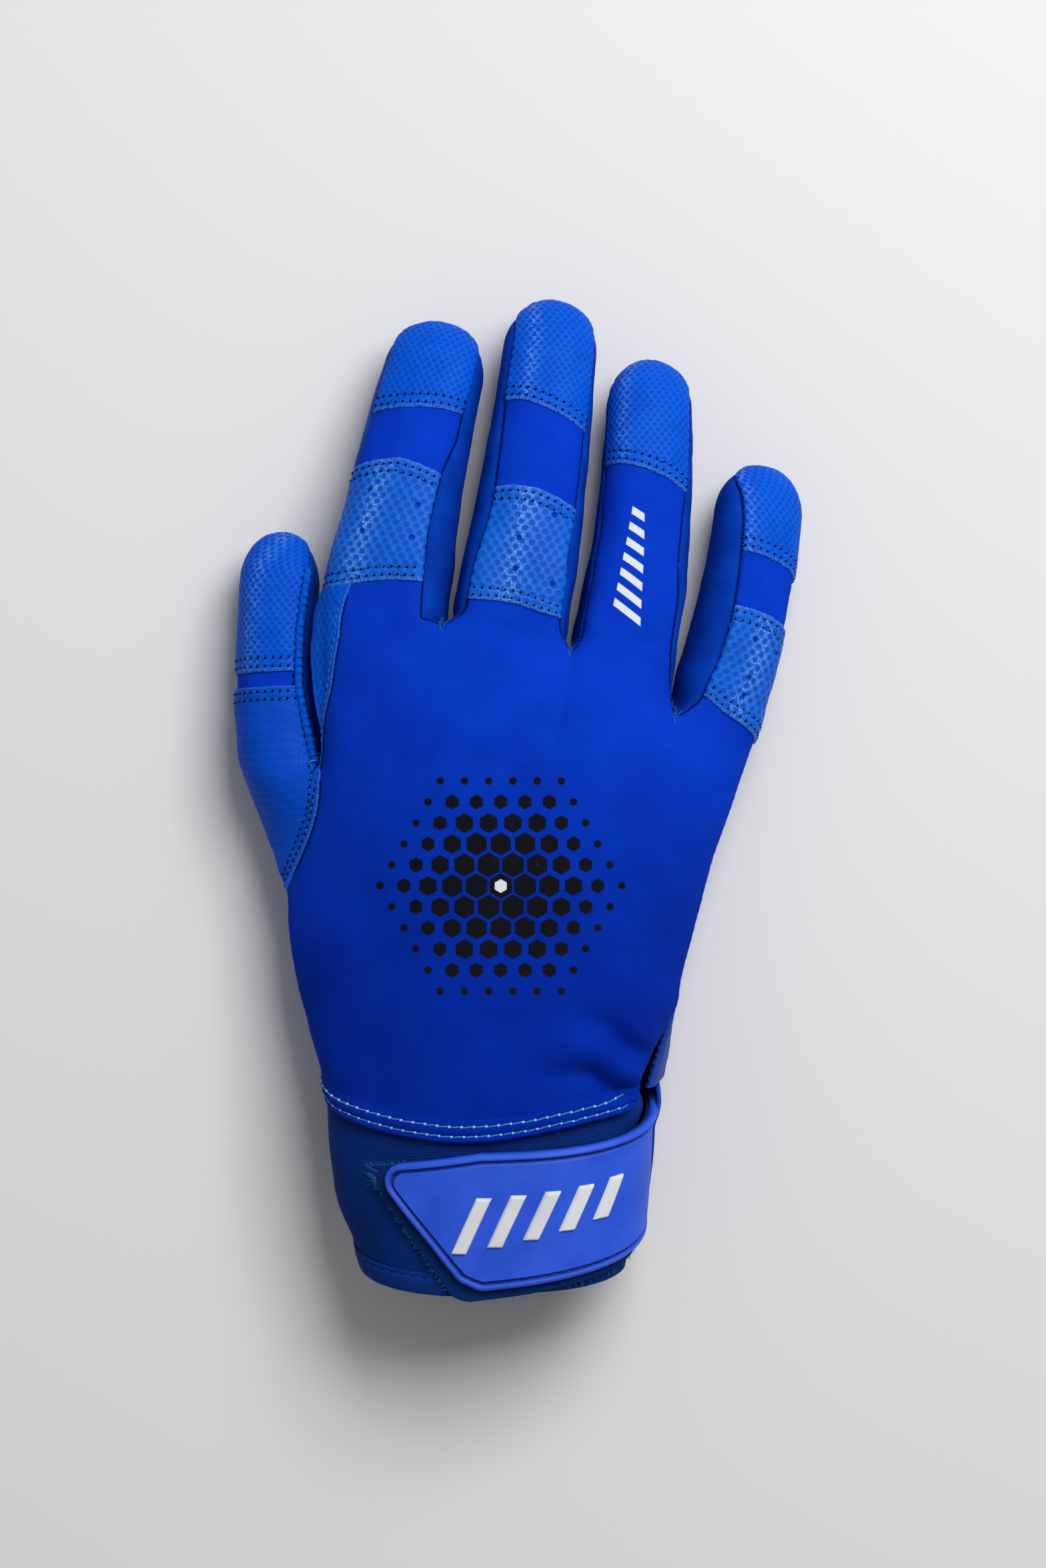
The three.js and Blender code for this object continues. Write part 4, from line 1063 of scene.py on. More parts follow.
def fibres(name, root, out, up, length, width, look, seed):
    """Loose thread ends: thin three-sided tubes that leave their roots outwards, bend sideways and taper."""
    rng = np.random.default_rng(seed)
    side = np.cross(up, out)
    ranges = (-0.9, 0.9), (0.05, 0.5), (0.4, 1.0)
    lean, rise, reach = (rng.uniform(*ends, (len(root), 1)) for ends in ranges)
    t = np.linspace(0, 1, FIBRE_RINGS)[None, :, None]
    start, turn = (out + 0.5 * lean * side) * reach * length, (lean * side + rise * up) * reach * length * 0.6
    line = root[:, None] + start[:, None] * t + turn[:, None] * t**2
    angle = np.linspace(0, 2 * np.pi, FIBRE_SIDES, endpoint=False)
    ring = side[:, None] * np.cos(angle)[:, None] + up[:, None] * np.sin(angle)[:, None]
    verts = line[:, :, None] + ring[:, None] * (width / 2 * (1 - 0.5 * t))[..., None]
    faces = tubes(len(root), FIBRE_RINGS, FIBRE_SIDES, FIBRE_CAPS)
    uv = np.stack(np.meshgrid(t.ravel() * length, angle, indexing="ij"), -1).reshape(-1, 2)
    return make(name, verts.reshape(-1, 3), faces, np.tile(uv, (len(root), 1)), look)


def raised(key, s, t, lift):
    """Run of points over a panel, at distances along and shares across, raised by the lift."""
    p, n = on(key, s, t)
    return p + n * lift, n


# Free edges of the bands and caps at five shares from the thumb side, and the bands' holes (along, share)
EDGE_AT = (0, 0.25, 0.5, 0.75, 1)
BAND_LOW = {
    "index": (3.2, 4.6, 6.4, 7.4, 7.8), "middle": (0.6, 1.4, 1.6, 0.8, -0.1),
    "little": (-2.6, -4.4, -5.2, -6.4, -8),
}
BAND_HIGH = {
    "index": (31.2, 33.2, 34.5, 33.9, 32.6), "middle": (27, 27.8, 27.8, 26.6, 24.7),
    "little": (18.6, 18.8, 18.4, 17.2, 15.8),
}
BAND_HOLES = {
    "index": ((26.4, 0.3), (24.8, 0.84), (17.3, 0.34), (17.3, 0.85)),
    "middle": ((22.6, 0.74), (16.2, 0.4), (9.3, 0.43), (7.6, 0.87)),
    "little": ((12.6, 0.36), (11.4, 0.7), (4.6, 0.4), (0.8, 0.42)),
}
CAP_LOW = {
    "index": (44.2, 45.4, 46.4, 47.2, 47.5), "middle": (47.3, 47.2, 46.0, 44.2, 42.2),
    "ring": (39.4, 39.0, 38.0, 36.4, 33.8), "little": (30.9, 30.7, 30.0, 28.8, 27.2),
}
# Painted highlight stripes of the caps: middle share, half width and strength
CAP_HIGHLIGHT_STRIPE = {"middle": (0.27, 1.5, 0.7), "ring": (0.28, 1.5, 0.7), "little": (0.1, 1.2, 0.6)}
OVERLAY_LIFT = 0.62
STEP = 0.24


def edge_line(places):
    """Function that gives the distance along the stall of a free edge, at shares across."""
    return lambda t: np.interp(t, EDGE_AT, places)


def tip_shares(count):
    """Shares from a cap's free edge to its tip, as a column that is closer at the tip."""
    a = np.linspace(0, 1, count)[:, None]
    return np.sin(a * np.pi / 2) * 0.35 + a * 0.65


def sewn_edges(name, piece_name, edges, key, part):
    """Two rows of stitches and needle holes beside free edges, each (distance function, direction)."""
    t = np.linspace(0.02, 0.98, 140)
    lift = OVERLAY_LIFT - 0.13
    runs = [raised(key, edge(t) + side * r, t, lift) for edge, side in edges for r in STITCH_ROWS]
    thread = stitches(piece_name + "_thread", runs, STITCH_PITCH, STITCH, leather_thread, 0.06, 0.12)
    bend(thread, name, part)
    between = [(p[len(p) // 90 :], n[len(n) // 90 :]) for p, n in runs]
    holes = stitches(piece_name + "_needle_holes", between, STITCH_PITCH, NEEDLE_HOLE, needle_hole, 0.0)
    bend(holes, name, part)


for name in FINGERS:
    key = (name, "back")
    cap_low = edge_line(CAP_LOW[name])
    t = np.linspace(0, 1, 110)[None]
    count = int((STALLS[name].length - min(CAP_LOW[name])) / STEP) + 16
    s = mix(cap_low(t), STALLS[name].length - 0.01, tip_shares(count))
    base, normal = on(key, s, t)
    cap = leather_piece(
        name + "_cap", base, normal, s, cap_leather, OVERLAY_LIFT, (*FINE_CELL, 0.1), (1, 0, 0, 0),
        highlight_stripe=CAP_HIGHLIGHT_STRIPE.get(name),
    )
    bend(cap, name, "upper")
    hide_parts(name + "_tip_cap")
    sewn_edges(name, name + "_cap", [(cap_low, 1)], key, "upper")
    if name not in BAND_LOW:
        continue
    low, high = edge_line(BAND_LOW[name]), edge_line(BAND_HIGH[name])
    t = np.linspace(0, 1, 124)[None]
    count = int((BAND_HIGH[name][2] - BAND_LOW[name][2]) / STEP)
    s = mix(low(t), high(t), np.linspace(0, 1, count)[:, None])
    base, normal = on(key, s, t)
    holes = [on(key, hs, ht)[0] for hs, ht in BAND_HOLES[name]]
    # The band's stripe of pale ridges is a painted highlight
    band = leather_piece(
        name + "_band", base, normal, s, band_leather, OVERLAY_LIFT, (2.3, 1.42, 0.13), (1, 1, 0, 0), holes,
        highlight_stripe=(0.42, 2.6, 1.0),
    )
    bend(band, name, "lower")
    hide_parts(name + "_knuckle_band")
    sewn_edges(name, name + "_band", [(low, 1), (high, -1)], key, "lower")


# Side strip of the index finger: the palm leather drawn up beside its root to a raw edge on the jersey with
# one row of stitching, running out to a point above the thumb; its outer edge stands off.
STRIP_S = (-35, -30, -22.5, -18, -11.3, -4.5, 0, 5, 9.4)
STRIP_SHARE = (0.012, 0.03, 0.06, 0.11, 0.19, 0.3, 0.335, 0.37, 0.4)
FLAP = ((-20, -16, -9, -5, -1, 3, 6), (0, 1.0, 2.3, 2.6, 1.7, 0.6, 0))
s, u = np.linspace(STRIP_S[0], STRIP_S[-1], 180)[:, None], np.linspace(0, 1, 60)[None]
edge = np.interp(s, STRIP_S, STRIP_SHARE)
base, normal = on(("index", "back"), s, mix(np.minimum(0.04, edge / 2), edge, u))
base = base + (np.interp(s, *FLAP) * (1 - smooth(u, 0, 0.5)))[..., None] * np.array([-1, 0, 0.15])
strip = leather_piece(
    "index_side_strip", base, normal, s, cap_leather, 0.5, (*FINE_CELL, 0.06), (0, 0, 1, 1),
    rows=(1.1,), pale=0.4,
)
seam_s = np.linspace(-31, 3.5, 160)
seam_share = np.interp(seam_s, STRIP_S, STRIP_SHARE)
strip_run = raised(("index", "back"), seam_s, seam_share - 0.035, 0.42)
foot_run = raised(("index", "back"), seam_s, seam_share + 0.009, 0.05)
strip_thread = stitches(
    "index_side_strip_thread", [strip_run], STITCH_PITCH, STITCH, leather_thread, 0.06, 0.1
)
# The overlocked row along the strip's raw edge is near black: a painted shadow line on the jersey beside the
# edge
strip_foot = stitches("index_side_strip_foot", [foot_run], *OVERLOCK)
for piece in (strip, strip_thread, strip_foot):
    bend(piece, "index", "lower")


# Seam thread of the fingers: a fine overlocked row along both edges of each back strip, from the crotch to
# the tip, near black as painted shade of the seam, with a few pale ends showing where the seams of two
# fingers meet.
for name in FINGERS:
    cap_end = STALLS[name].length - 4.5
    shares = [t for t, side in ((0.008, "thumb"), (0.992, "outer")) if (name, side) in form]
    start = along[name][CROTCH_I] + 0.4
    for part, low, high in (("lower", start, SPLIT[name]), ("upper", SPLIT[name], cap_end)):
        s = np.linspace(low, high, 200)
        runs = [raised((name, "back"), s, t, 0.12) for t in shares]
        seam = stitches(f"{name}_seam_thread_{part}", runs, *OVERLOCK)
        bend(seam, name, part)
for left, right in zip(FINGERS, FINGERS[1:]):
    spot = slice(CROTCH_I - 2, CROTCH_I + 4), slice(-2, None)
    root, up = (a[spot].reshape(-1, 3) for a in body[left, "back"])
    ahead = np.tile([0.2, 0.98, 0], (len(root), 1))
    loose_ends = fibres(f"{left}_{right}_thread_ends", root + 0.3 * up, ahead, up, 1.9, 0.2, pale_thread, 7)
    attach(loose_ends, "hand")


# Thumb: a leaf of embossed leather round its base, a narrow strip of jersey at the knuckle, an embossed cap
# and a leather front. Back and front meet on the inner side in a raised seam that ends in a bar tack.
COLLAR_ROWS, FLANGE, LEAF_LENGTH, THUMB_CAP_LOW = 14, 3.0, 18.3, 21.6
index_grid, index_normal = body["index", "back"]
mean_left = lengths(index_grid[hole], 1)[0].mean(0)
taper = np.clip(np.sin(np.pi * THUMB_T), 0, 1) ** 0.4
flange_d = FLANGE * taper[None] * np.linspace(1, 0, 6)[:-1, None]
flange_cols = np.interp(flange_d, mean_left, np.arange(len(mean_left)))
flange_rows = np.broadcast_to(hole[None], flange_cols.shape).astype(float)
leaf_end = int(np.searchsorted(along["thumb"], LEAF_LENGTH))
thumb_grid, thumb_normal = body["thumb", "back"]
leaf = np.concatenate([sample(index_grid, flange_rows, flange_cols), thumb_grid[: leaf_end + 1]])
leaf_normal = np.concatenate([sample(index_normal, flange_rows, flange_cols), thumb_normal[: leaf_end + 1]])
fine_r, fine_c = np.linspace(0, len(leaf) - 1, 190), np.linspace(0, len(THUMB_T) - 1, 150)
fine_r, fine_c = np.broadcast_arrays(fine_r[:, None], fine_c[None])
base, normal = sample(leaf, fine_r, fine_c), unit(sample(leaf_normal, fine_r, fine_c))
collar_share = smooth(fine_r, 5, 5 + COLLAR_ROWS)
leaf_panel = leather_piece(
    "thumb_leaf", base, normal, lengths(base, 0)[0], leaf_leather, 0.7, (*FINE_CELL, 0.02), (1, 1, 0, 0),
    pale=0.4,
)


def follow_collar(piece):
    """Bakes the piece's placing into its mesh; the ends of the thumb's root over the width of its collar are
    worked out but not used.
    """
    a, b = STALLS["thumb"].axes(np.array([-6.0, 4.0]))[0] * MM
    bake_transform(piece)


follow_collar(leaf_panel)
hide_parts("thumb_base_panel", "thumb_lower_back")
grid, normal_grid = (a[: leaf_end + 1] for a in body["thumb", "front"])
uv = np.stack(np.broadcast_arrays(lengths(grid, 1)[0], along["thumb"][: leaf_end + 1, None]), -1)
faces = quads(*grid.shape[:2])[:, ::-1]
gusset = shell("thumb_gusset", grid, normal_grid, uv, LEATHER_THICK, palm_leather, faces, smooth_normals=True)
gusset_share = np.broadcast_to(smooth(np.arange(leaf_end + 1.0), 0, COLLAR_ROWS)[:, None], grid.shape[:2])
follow_collar(gusset)
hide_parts("thumb_base_gusset", "thumb_lower_front")
flex_rows = slice(leaf_end - 6, leaf_end + 14)
flex = sewn("thumb_flex_jersey", [(("thumb", "back"), flex_rows)], JERSEY_THICK, jersey)
front = sewn("thumb_front", [(("thumb", "front"), slice(leaf_end, None))], LEATHER_THICK, palm_leather)
t = np.linspace(0, 1, 150)[None]
s = mix(THUMB_CAP_LOW, STALLS["thumb"].length - 0.01, tip_shares(150)) + 0 * t
base, normal = on(("thumb", "back"), s, t)
# The thumb cap's stripe of pale ridges is a painted highlight
thumb_cap = leather_piece(
    "thumb_cap", base, normal, s, cap_leather, OVERLAY_LIFT, (*FINE_CELL, 0.09), (1, 0, 0, 0),
    highlight_stripe=(0.55, 2.0, 0.6),
)
for piece, node in ((flex, "thumb_knuckle_flex"), (front, "thumb_front_upper"), (thumb_cap, "thumb_tip_cap")):
    bend(piece, "thumb", "upper")
    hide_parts(node)
cap_low = edge_line([THUMB_CAP_LOW] * len(EDGE_AT))
sewn_edges("thumb", "thumb_cap", [(cap_low, 1)], ("thumb", "back"), "upper")

# Stitching of the leaf along its raw edges, and the raised seam on the inner side of the thumb
edge_cols = np.linspace(1.2, len(THUMB_T) - 2.2, 220)


def leaf_run(distance, from_top):
    """Run of points over the leaf at a distance from its lower or its upper raw edge."""
    rows = np.linspace(0, len(leaf) - 1, 240)
    r, c = np.broadcast_arrays(rows[:, None], edge_cols[None])
    p, n = sample(leaf, r, c), unit(sample(leaf_normal, r, c))
    d = lengths(p, 0)[1 if from_top else 0]
    at = np.abs(d - distance).argmin(0)
    k = np.arange(len(edge_cols))
    return p[at, k] + n[at, k] * 0.57, n[at, k], smooth(rows[at], 5, 5 + COLLAR_ROWS)


# Overlocked row along the leaf's foot, near black as painted shade of the seam
foot = leaf[0] + 0.3 * unit(leaf[0] - leaf[1]) + 0.08 * leaf_normal[0]
leaf_foot = stitches("thumb_leaf_foot", [(foot[6:-6], leaf_normal[0][6:-6])], *OVERLOCK)
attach(leaf_foot, "hand")
leaf_runs = [leaf_run(d, top) for top in (False, True) for d in STITCH_ROWS]
bead_points = len(BEAD_AT) * BEAD_SIDES
leaf_beads = (("thread", STITCH, leather_thread), ("needle_holes", NEEDLE_HOLE, needle_hole))
for k, (p, n, w) in enumerate(leaf_runs):
    for stem, size, look in leaf_beads:
        skip = 0 if stem == "thread" else len(p) // 60
        run = p[skip:], n[skip:]
        row = stitches(f"thumb_leaf_{stem}_{k}", [run], STITCH_PITCH, size, look, 0.05, 0.12)
        count = len(row.data.vertices) // bead_points
        follow_collar(row)

RIDGE = np.array([(-1.0, -0.6), (-1.0, 0.6), (-0.95, 1.5), (-0.6, 2.15), (0, 2.35)])
RIDGE = np.concatenate([RIDGE, RIDGE[-2::-1] * [-1, 1]])


def ridge(name, s, height):
    """Raised seam: a rounded fin along the inner edge of the thumb's back, puckered at every stitch."""
    p, n = on(("thumb", "back"), s, 1.0)
    n = unit(n + on(("thumb", "front"), s, 1.0)[1] * 0.35)
    run = unit(np.gradient(p, axis=0))
    side = np.cross(n, run)
    pucker = 1 + 0.09 * np.sin(s * 2 * np.pi / STITCH_PITCH)
    x, y = RIDGE[:, 0][None, :, None], RIDGE[:, 1][None, :, None] * (height * pucker)[:, None, None]
    grid = p[:, None] + side[:, None] * x + n[:, None] * y
    uv = np.stack(np.broadcast_arrays(RIDGE[:, 0][None], s[:, None]), -1)
    outward = unit(side[:, None] * x + n[:, None] * np.maximum(RIDGE[:, 1], 0.1)[None, :, None])
    piece = shell(name, grid, outward, uv, 0.25, cap_leather, quads(*grid.shape[:2])[:, ::-1])
    threads = []
    # The raised seam's stitches are near black, painted shade beside the fin
    for k, d in (("left", 1), ("right", -1)):
        row = p + n * 1.2 * height[:, None] - side * d, unit(n * 0.2 - side * d)
        threads.append(stitches(f"{name}_{k}_thread", [row], STITCH_PITCH, (1.2, 0.5), seam_shade_thread, 0.1))
    return piece, threads


TACK_FROM, TACK_TO, TACK_PITCH = -8.6, -5.2, 0.62
tack_run = raised(("thumb", "back"), np.linspace(TACK_FROM, TACK_TO, 40), 0.985, 1.6)
tack = stitches("thumb_bar_tack", [tack_run], TACK_PITCH, (2.6, 0.5), pale_thread, 0.3, 8.0)
tack_beads = np.arange(len(tack.data.vertices) // bead_points)
tack_share = smooth((tack_beads + 0.5) * TACK_PITCH + TACK_FROM, -14, 0)
follow_collar(tack)
lower_s, upper_s = np.linspace(-7.5, SPLIT["thumb"], 140), np.linspace(SPLIT["thumb"], 47, 150)
seam_lower, thread_lower = ridge("thumb_inner_seam_lower", lower_s, smooth(lower_s, -9, -4))
seam_upper, thread_upper = ridge("thumb_inner_seam_upper", upper_s, 1 - smooth(upper_s, 43.5, 47.5))
row_share = smooth(lower_s, -14, 0)
follow_collar(seam_lower)
for row in thread_lower:
    follow_collar(row)
for piece in (seam_upper, *thread_upper):
    bend(piece, "thumb", "upper")


# Cuff: a band of fine ribbed elastic knit round the wrist, open on the little-finger side, where one end
# lies under the other, with a bound rim and a patch of loop fabric on its back that the strap grips.
def knit_nodes(v):
    """Ribbed knit: fine ribs round the wrist, loops along them."""
    x, y, uv = mm_uv(v)
    rib = wave(y, 0.62)
    loop = wave(x, 0.55)
    cloud = uv.noise(0.06, 3.0)
    fuzz = uv.noise(1.6, 3.0)
    tone = rib * 0.55 + cloud.step(0.3, 0.7) * 0.3 + fuzz * 0.25
    colour = tone.tint((0.0004, 0.012, 0.105), (0.001, 0.034, 0.235))
    bump = (loop * 0.4 + fuzz).bump(0.4, 0.0001)
    return {"Base_Color": colour, "Roughness": 0.75 + fuzz * 0.2, "Normal": bump}


def loop_nodes(v):
    """Loop fabric: matted curls."""
    uv = mm_uv(v)[2]
    curl = uv.noise(1.9, 5.0, 1.8)
    colour = curl.step(0.3, 0.7).tint((0.0005, 0.012, 0.08), (0.003, 0.05, 0.24))
    bump = curl.bump(0.7, 0.0003)
    return {"Base_Color": colour, "Roughness": 0.85 + curl * 0.1, "Normal": bump}


cuff_knit = finish("cuff_knit", knit_nodes, Specular_IOR_Level=0.1)
loop_fabric = finish("loop_fabric", loop_nodes, Specular_IOR_Level=0.08)


def on_cuff(name, degrees, down, lift, thickness, look):
    """Piece on the wrist's oval: rows down from the hem, columns round it, raised by the lift."""
    degrees, down, lift = np.broadcast_arrays(degrees, down, lift)
    grid = cuff_at(degrees, down, lift)
    normal = unit(cuff_at(degrees, down, lift + 1) - grid)
    return shell(name, grid, normal, np.stack([lengths(grid, 1)[0], down], -1), thickness, look)


RIB_PITCH, RIM_SEAM, PATCH_TOP, PATCH_FOOT = 0.62, 34.4, 10, 31.5
CUFF_ENDS, RIM_ENDS = (-14, 352), (96, 338)
degrees = np.linspace(*CUFF_ENDS, 180)[None]
down = np.linspace(-6.0, CUFF["length"] - 0.4, 264)[:, None]
plain = cuff_at(degrees, down, 0.0)
tucked = -1.7 * (1 - smooth(down, -4.0, 1.5)) - 2.1 * (1 - smooth(degrees, 0, 12))
ribs = 0.07 * np.cos(2 * np.pi * down / RIB_PITCH) + 0.14 * ripple(plain, 14, 21) + tucked
cuff = on_cuff("cuff_band_knit", degrees, down, ribs, 1.5, cuff_knit)
rim_down = np.linspace(33.3, CUFF["length"] + 0.2, 34)[:, None]
rim_groove = 0.25 * np.exp(-(((rim_down - RIM_SEAM) / 0.35) ** 2))
rim_shape = 0.7 * np.sqrt(np.clip(1 - ((rim_down - 35.8) / 2.9) ** 2, 0, 1)) - rim_groove
rim_degrees = np.linspace(*RIM_ENDS, 170)[None]
rim_shape = rim_shape * mix(0.4, 1, smooth(rim_degrees, 104, 124))
rim_shape = rim_shape + 0.05 * ripple(cuff_at(rim_degrees, rim_down, 0.0), 6, 4)
rim = on_cuff("cuff_rim_fold", rim_degrees, rim_down, rim_shape, 0.8, cuff_knit)
rim_run = cuff_at(rim_degrees[0], RIM_SEAM, 0.32)
rim_up = unit(cuff_at(rim_degrees[0], RIM_SEAM, 1.4) - rim_run)
rim_thread = stitches("cuff_rim_thread", [(rim_run, rim_up)], 2.6, (1.9, 0.4), jersey_thread, 0.1)
patch_down = np.linspace(PATCH_TOP, PATCH_FOOT, 80)[:, None]
patch_end = np.interp(patch_down, (PATCH_TOP, PATCH_FOOT), (136, 112))
patch_degrees = mix(46, patch_end, np.linspace(0, 1, 150)[None])
edge = np.minimum(1, np.minimum(patch_down - PATCH_TOP, PATCH_FOOT - patch_down) / 0.6)
patch_lift = 0.35 + 0.2 * edge + 0.12 * ripple(cuff_at(patch_degrees, patch_down, 0.0), 1.1, 8)
loop_patch = on_cuff("cuff_loop_fabric", patch_degrees, patch_down, patch_lift, 0.6, loop_fabric)
for piece, node in ((cuff, "cuff_band"), (rim, "cuff_rim_binding"), (loop_patch, "cuff_loop_patch")):
    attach(piece, "hand")
    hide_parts(node)
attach(rim_thread, "hand")


# Hem of the back panel: the jersey's lower edge folded over the top of the cuff and sewn down with two rows
# of thick pale thread, which draw it in between three soft rolls.
hem_ids = np.concatenate([panel_ids((n, "back"))[:12, (n != "index") :] for n in FINGERS], 1)
hem_grid, hem_normal = (points + back_pull)[hem_ids], normals[hem_ids]
HEM_ROWS, HEM_PITCH = (1.0, 3.2), 2.75
HEM_UP = np.linspace(-0.6, 5.2, 44)
HEM_LIFT = np.interp(
    HEM_UP,
    (-0.6, -0.45, -0.15, 0.2, 0.6, 1.0, 1.5, 2.1, 2.7, 3.2, 3.7, 4.4, 5.2),
    (-0.2, 0.5, 0.9, 1.0, 0.82, 0.42, 0.85, 0.98, 0.85, 0.36, 0.45, 0.2, -0.15),
)


def hem_at_height(up, cols, lift):
    """Point of the hem: up the back panel from its lower edge, straight on below it, raised by the lift."""
    up, cols, lift = np.broadcast_arrays(up, cols, lift)
    step = np.linalg.norm(hem_grid[1] - hem_grid[0], axis=1)
    rows = up / np.interp(cols, np.arange(len(step)), step)
    p = sample(hem_grid, np.maximum(rows, 0), cols)
    below = sample(hem_grid, np.zeros_like(rows), cols) - sample(hem_grid, np.ones_like(rows), cols)
    n = unit(sample(hem_normal, np.maximum(rows, 0), cols))
    return p + unit(below) * np.maximum(-up, 0)[..., None] + n * lift[..., None], n


hem_cols = np.linspace(0, hem_grid.shape[1] - 1, 420)
up, cols = HEM_UP[:, None], hem_cols[None]
pucker = 0.05 * np.sin(np.arange(len(hem_cols)) * 2 * np.pi / 11)[None] * np.exp(-(((up - 2.6) / 1.6) ** 2))
grid, normal = hem_at_height(up, cols, HEM_LIFT[:, None] + pucker)
uv = np.stack(np.broadcast_arrays(lengths(grid, 1)[0], up), -1)
hem = shell("back_hem_fold", grid, normal, uv, JERSEY_THICK, jersey_hem)
runs = [hem_at_height(r, hem_cols[4:-26], 0.5) for r in HEM_ROWS]
# Near-white beads on each stitch of the hem: painted highlight on the thread
highlight_runs = [(p[5:], n[5:]) for p, n in runs]
hem_thread = stitches("back_hem_thread", runs, HEM_PITCH, (2.5, 0.4), pale_thread, 0.14, 0.1)
hem_stitch_highlights = stitches("back_hem_knots", highlight_runs, HEM_PITCH, (0.75, 0.62), stitch_highlight_thread, 0.1, 0.6)
for piece in (hem, hem_thread, hem_stitch_highlights):
    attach(piece, "hand")
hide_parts("back_hem")


# Strap: a tab of hook tape from the palm side round the open side of the cuff to its back, with a moulded
# rubber cover sewn on in a groove beside its edge; five raised white bars slant across the cover. Its root
# is let in under a flap of palm leather.
ARC_AT = np.linspace(170, -40, 421)
arc_points = cuff_at(ARC_AT, 18.0, 2.0)
ARC = np.concatenate([[0], np.cumsum(np.linalg.norm(np.diff(arc_points, axis=0), axis=1))])


def corners(*places):
    """Corners given as (degrees round the cuff, down) in flat millimetres: along the strap and down."""
    return np.array([(np.interp(-d, -ARC_AT, ARC), y) for d, y in places])


def edge_distance(x, y, outline, rounding):
    """How far a point lies inside a convex outline with rounded corners: the outline drawn in by the
    rounding gives the distance to its sides outside and the least distance to their lines inside."""
    ahead = np.roll(outline, -1, 0) - outline
    inward = np.stack([-ahead[:, 1], ahead[:, 0]], -1) / np.linalg.norm(ahead, axis=1, keepdims=True)
    lines = (outline * inward).sum(1) + rounding
    m = np.stack([inward, np.roll(inward, 1, 0)], 1)
    small = np.linalg.solve(m, np.stack([lines, np.roll(lines, 1)], -1)[..., None])[..., 0]
    p = np.stack([x, y], -1)[..., None, :]
    side = np.roll(small, -1, 0) - small
    t = np.clip(((p - small) * side).sum(-1) / (side**2).sum(-1), 0, 1)[..., None]
    outside = np.linalg.norm(p - small - side * t, axis=-1).min(-1)
    inside = ((p - small) * inward).sum(-1).min(-1)
    return rounding + np.where(inside > 0, inside, -outside)


def flat_tab(outline, rounding, step):
    """Grid over a convex outline: even columns, closer at its pointed end, each from edge to edge."""
    low, high = outline[:, 0].min() + 0.02, outline[:, 0].max() - 0.02
    x = np.linspace(low, high, 1200)
    y = np.linspace(outline[:, 1].min() - 1, outline[:, 1].max() + 1, 900)
    inside = edge_distance(*np.meshgrid(x, y, indexing="ij"), outline, rounding) > 0
    full = inside.any(1)
    x, inside = x[full], inside[full]
    top, foot = y[inside.argmax(1)], y[len(y) - 1 - inside[:, ::-1].argmax(1)]
    count = int((x[-1] - x[0]) / step)
    u = np.linspace(0, 1, count)
    at = x[0] + (x[-1] - x[0]) * mix(u, u**2, 0.35)
    share = columns(int((outline[:, 1].max() - outline[:, 1].min()) / step), 0.3)[:, None]
    return at[None] + 0 * share, mix(np.interp(at, x, top)[None], np.interp(at, x, foot)[None], share)


def on_strap(x, y, lift):
    """Point over the cuff from flat millimetres along the strap and down."""
    return cuff_at(np.interp(x, ARC, ARC_AT), y, lift)


def strap_frame(x, y, lift):
    """Points over the strap and the directions square to it."""
    p = on_strap(x, y, lift)
    return p, unit(on_strap(x, y, lift + 1) - p)


def rounded_line(outline, rounding, inset):
    """Closed line inside a convex outline with rounded corners, at an even distance from its edge."""
    ahead = np.roll(outline, -1, 0) - outline
    outward = np.stack([ahead[:, 1], -ahead[:, 0]], -1) / np.linalg.norm(ahead, axis=1, keepdims=True)
    before = np.roll(outward, 1, 0)
    middle = outline - (before + outward) * rounding / (1 + (before * outward).sum(1, keepdims=True))
    fan = unit(mix(before[:, None], outward[:, None], np.linspace(0, 1, 12)[None, :, None]))
    line = (middle[:, None] + fan * (rounding - inset)).reshape(-1, 2)
    return np.concatenate([line, line[:1]])


def strap_piece(name, x, y, lift, thickness, look, fields=()):
    """Piece over a grid of places on the strap, whose rows run down it."""
    grid, normal = strap_frame(x, y, lift)
    return shell(name, grid, normal, np.stack([x, y], -1), thickness, look, quads(*x.shape)[:, ::-1], fields)


def rubber_nodes(dark, light):
    """Moulded rubber: a smooth skin, darkened in its groove by painted shade."""
    def nodes(v):
        uv = mm_uv(v)[2]
        groove = v.node("Attribute", {"attribute_name": "groove"}, out=2)
        cloud = uv.noise(0.09, 4.0)
        skin = uv.noise(3.5, 4.0)
        colour = (cloud.step(0.3, 0.7) * 0.75 + skin * 0.25).tint(dark, light)
        # Painted shade: the groove is coloured almost black
        colour = groove.tint(colour, (0.0006, 0.006, 0.07))
        bump = skin.bump(0.15, 0.0001)
        return {"Base_Color": colour, "Roughness": 0.42 + skin * 0.2, "Normal": bump}

    return nodes


def hook_nodes(v):
    """Hook tape: a diagonal weave under fuzz."""
    x, y, uv = mm_uv(v)
    weave = wave(x + y, 0.7) * wave(x - y, 0.7)
    fuzz = uv.noise(1.3, 5.0)
    colour = (weave * 0.5 + fuzz * 0.5).tint((0.0005, 0.013, 0.085), (0.002, 0.04, 0.2))
    bump = (weave + fuzz).bump(0.5, 0.0002)
    return {"Base_Color": colour, "Roughness": 0.75 + fuzz * 0.2, "Normal": bump}


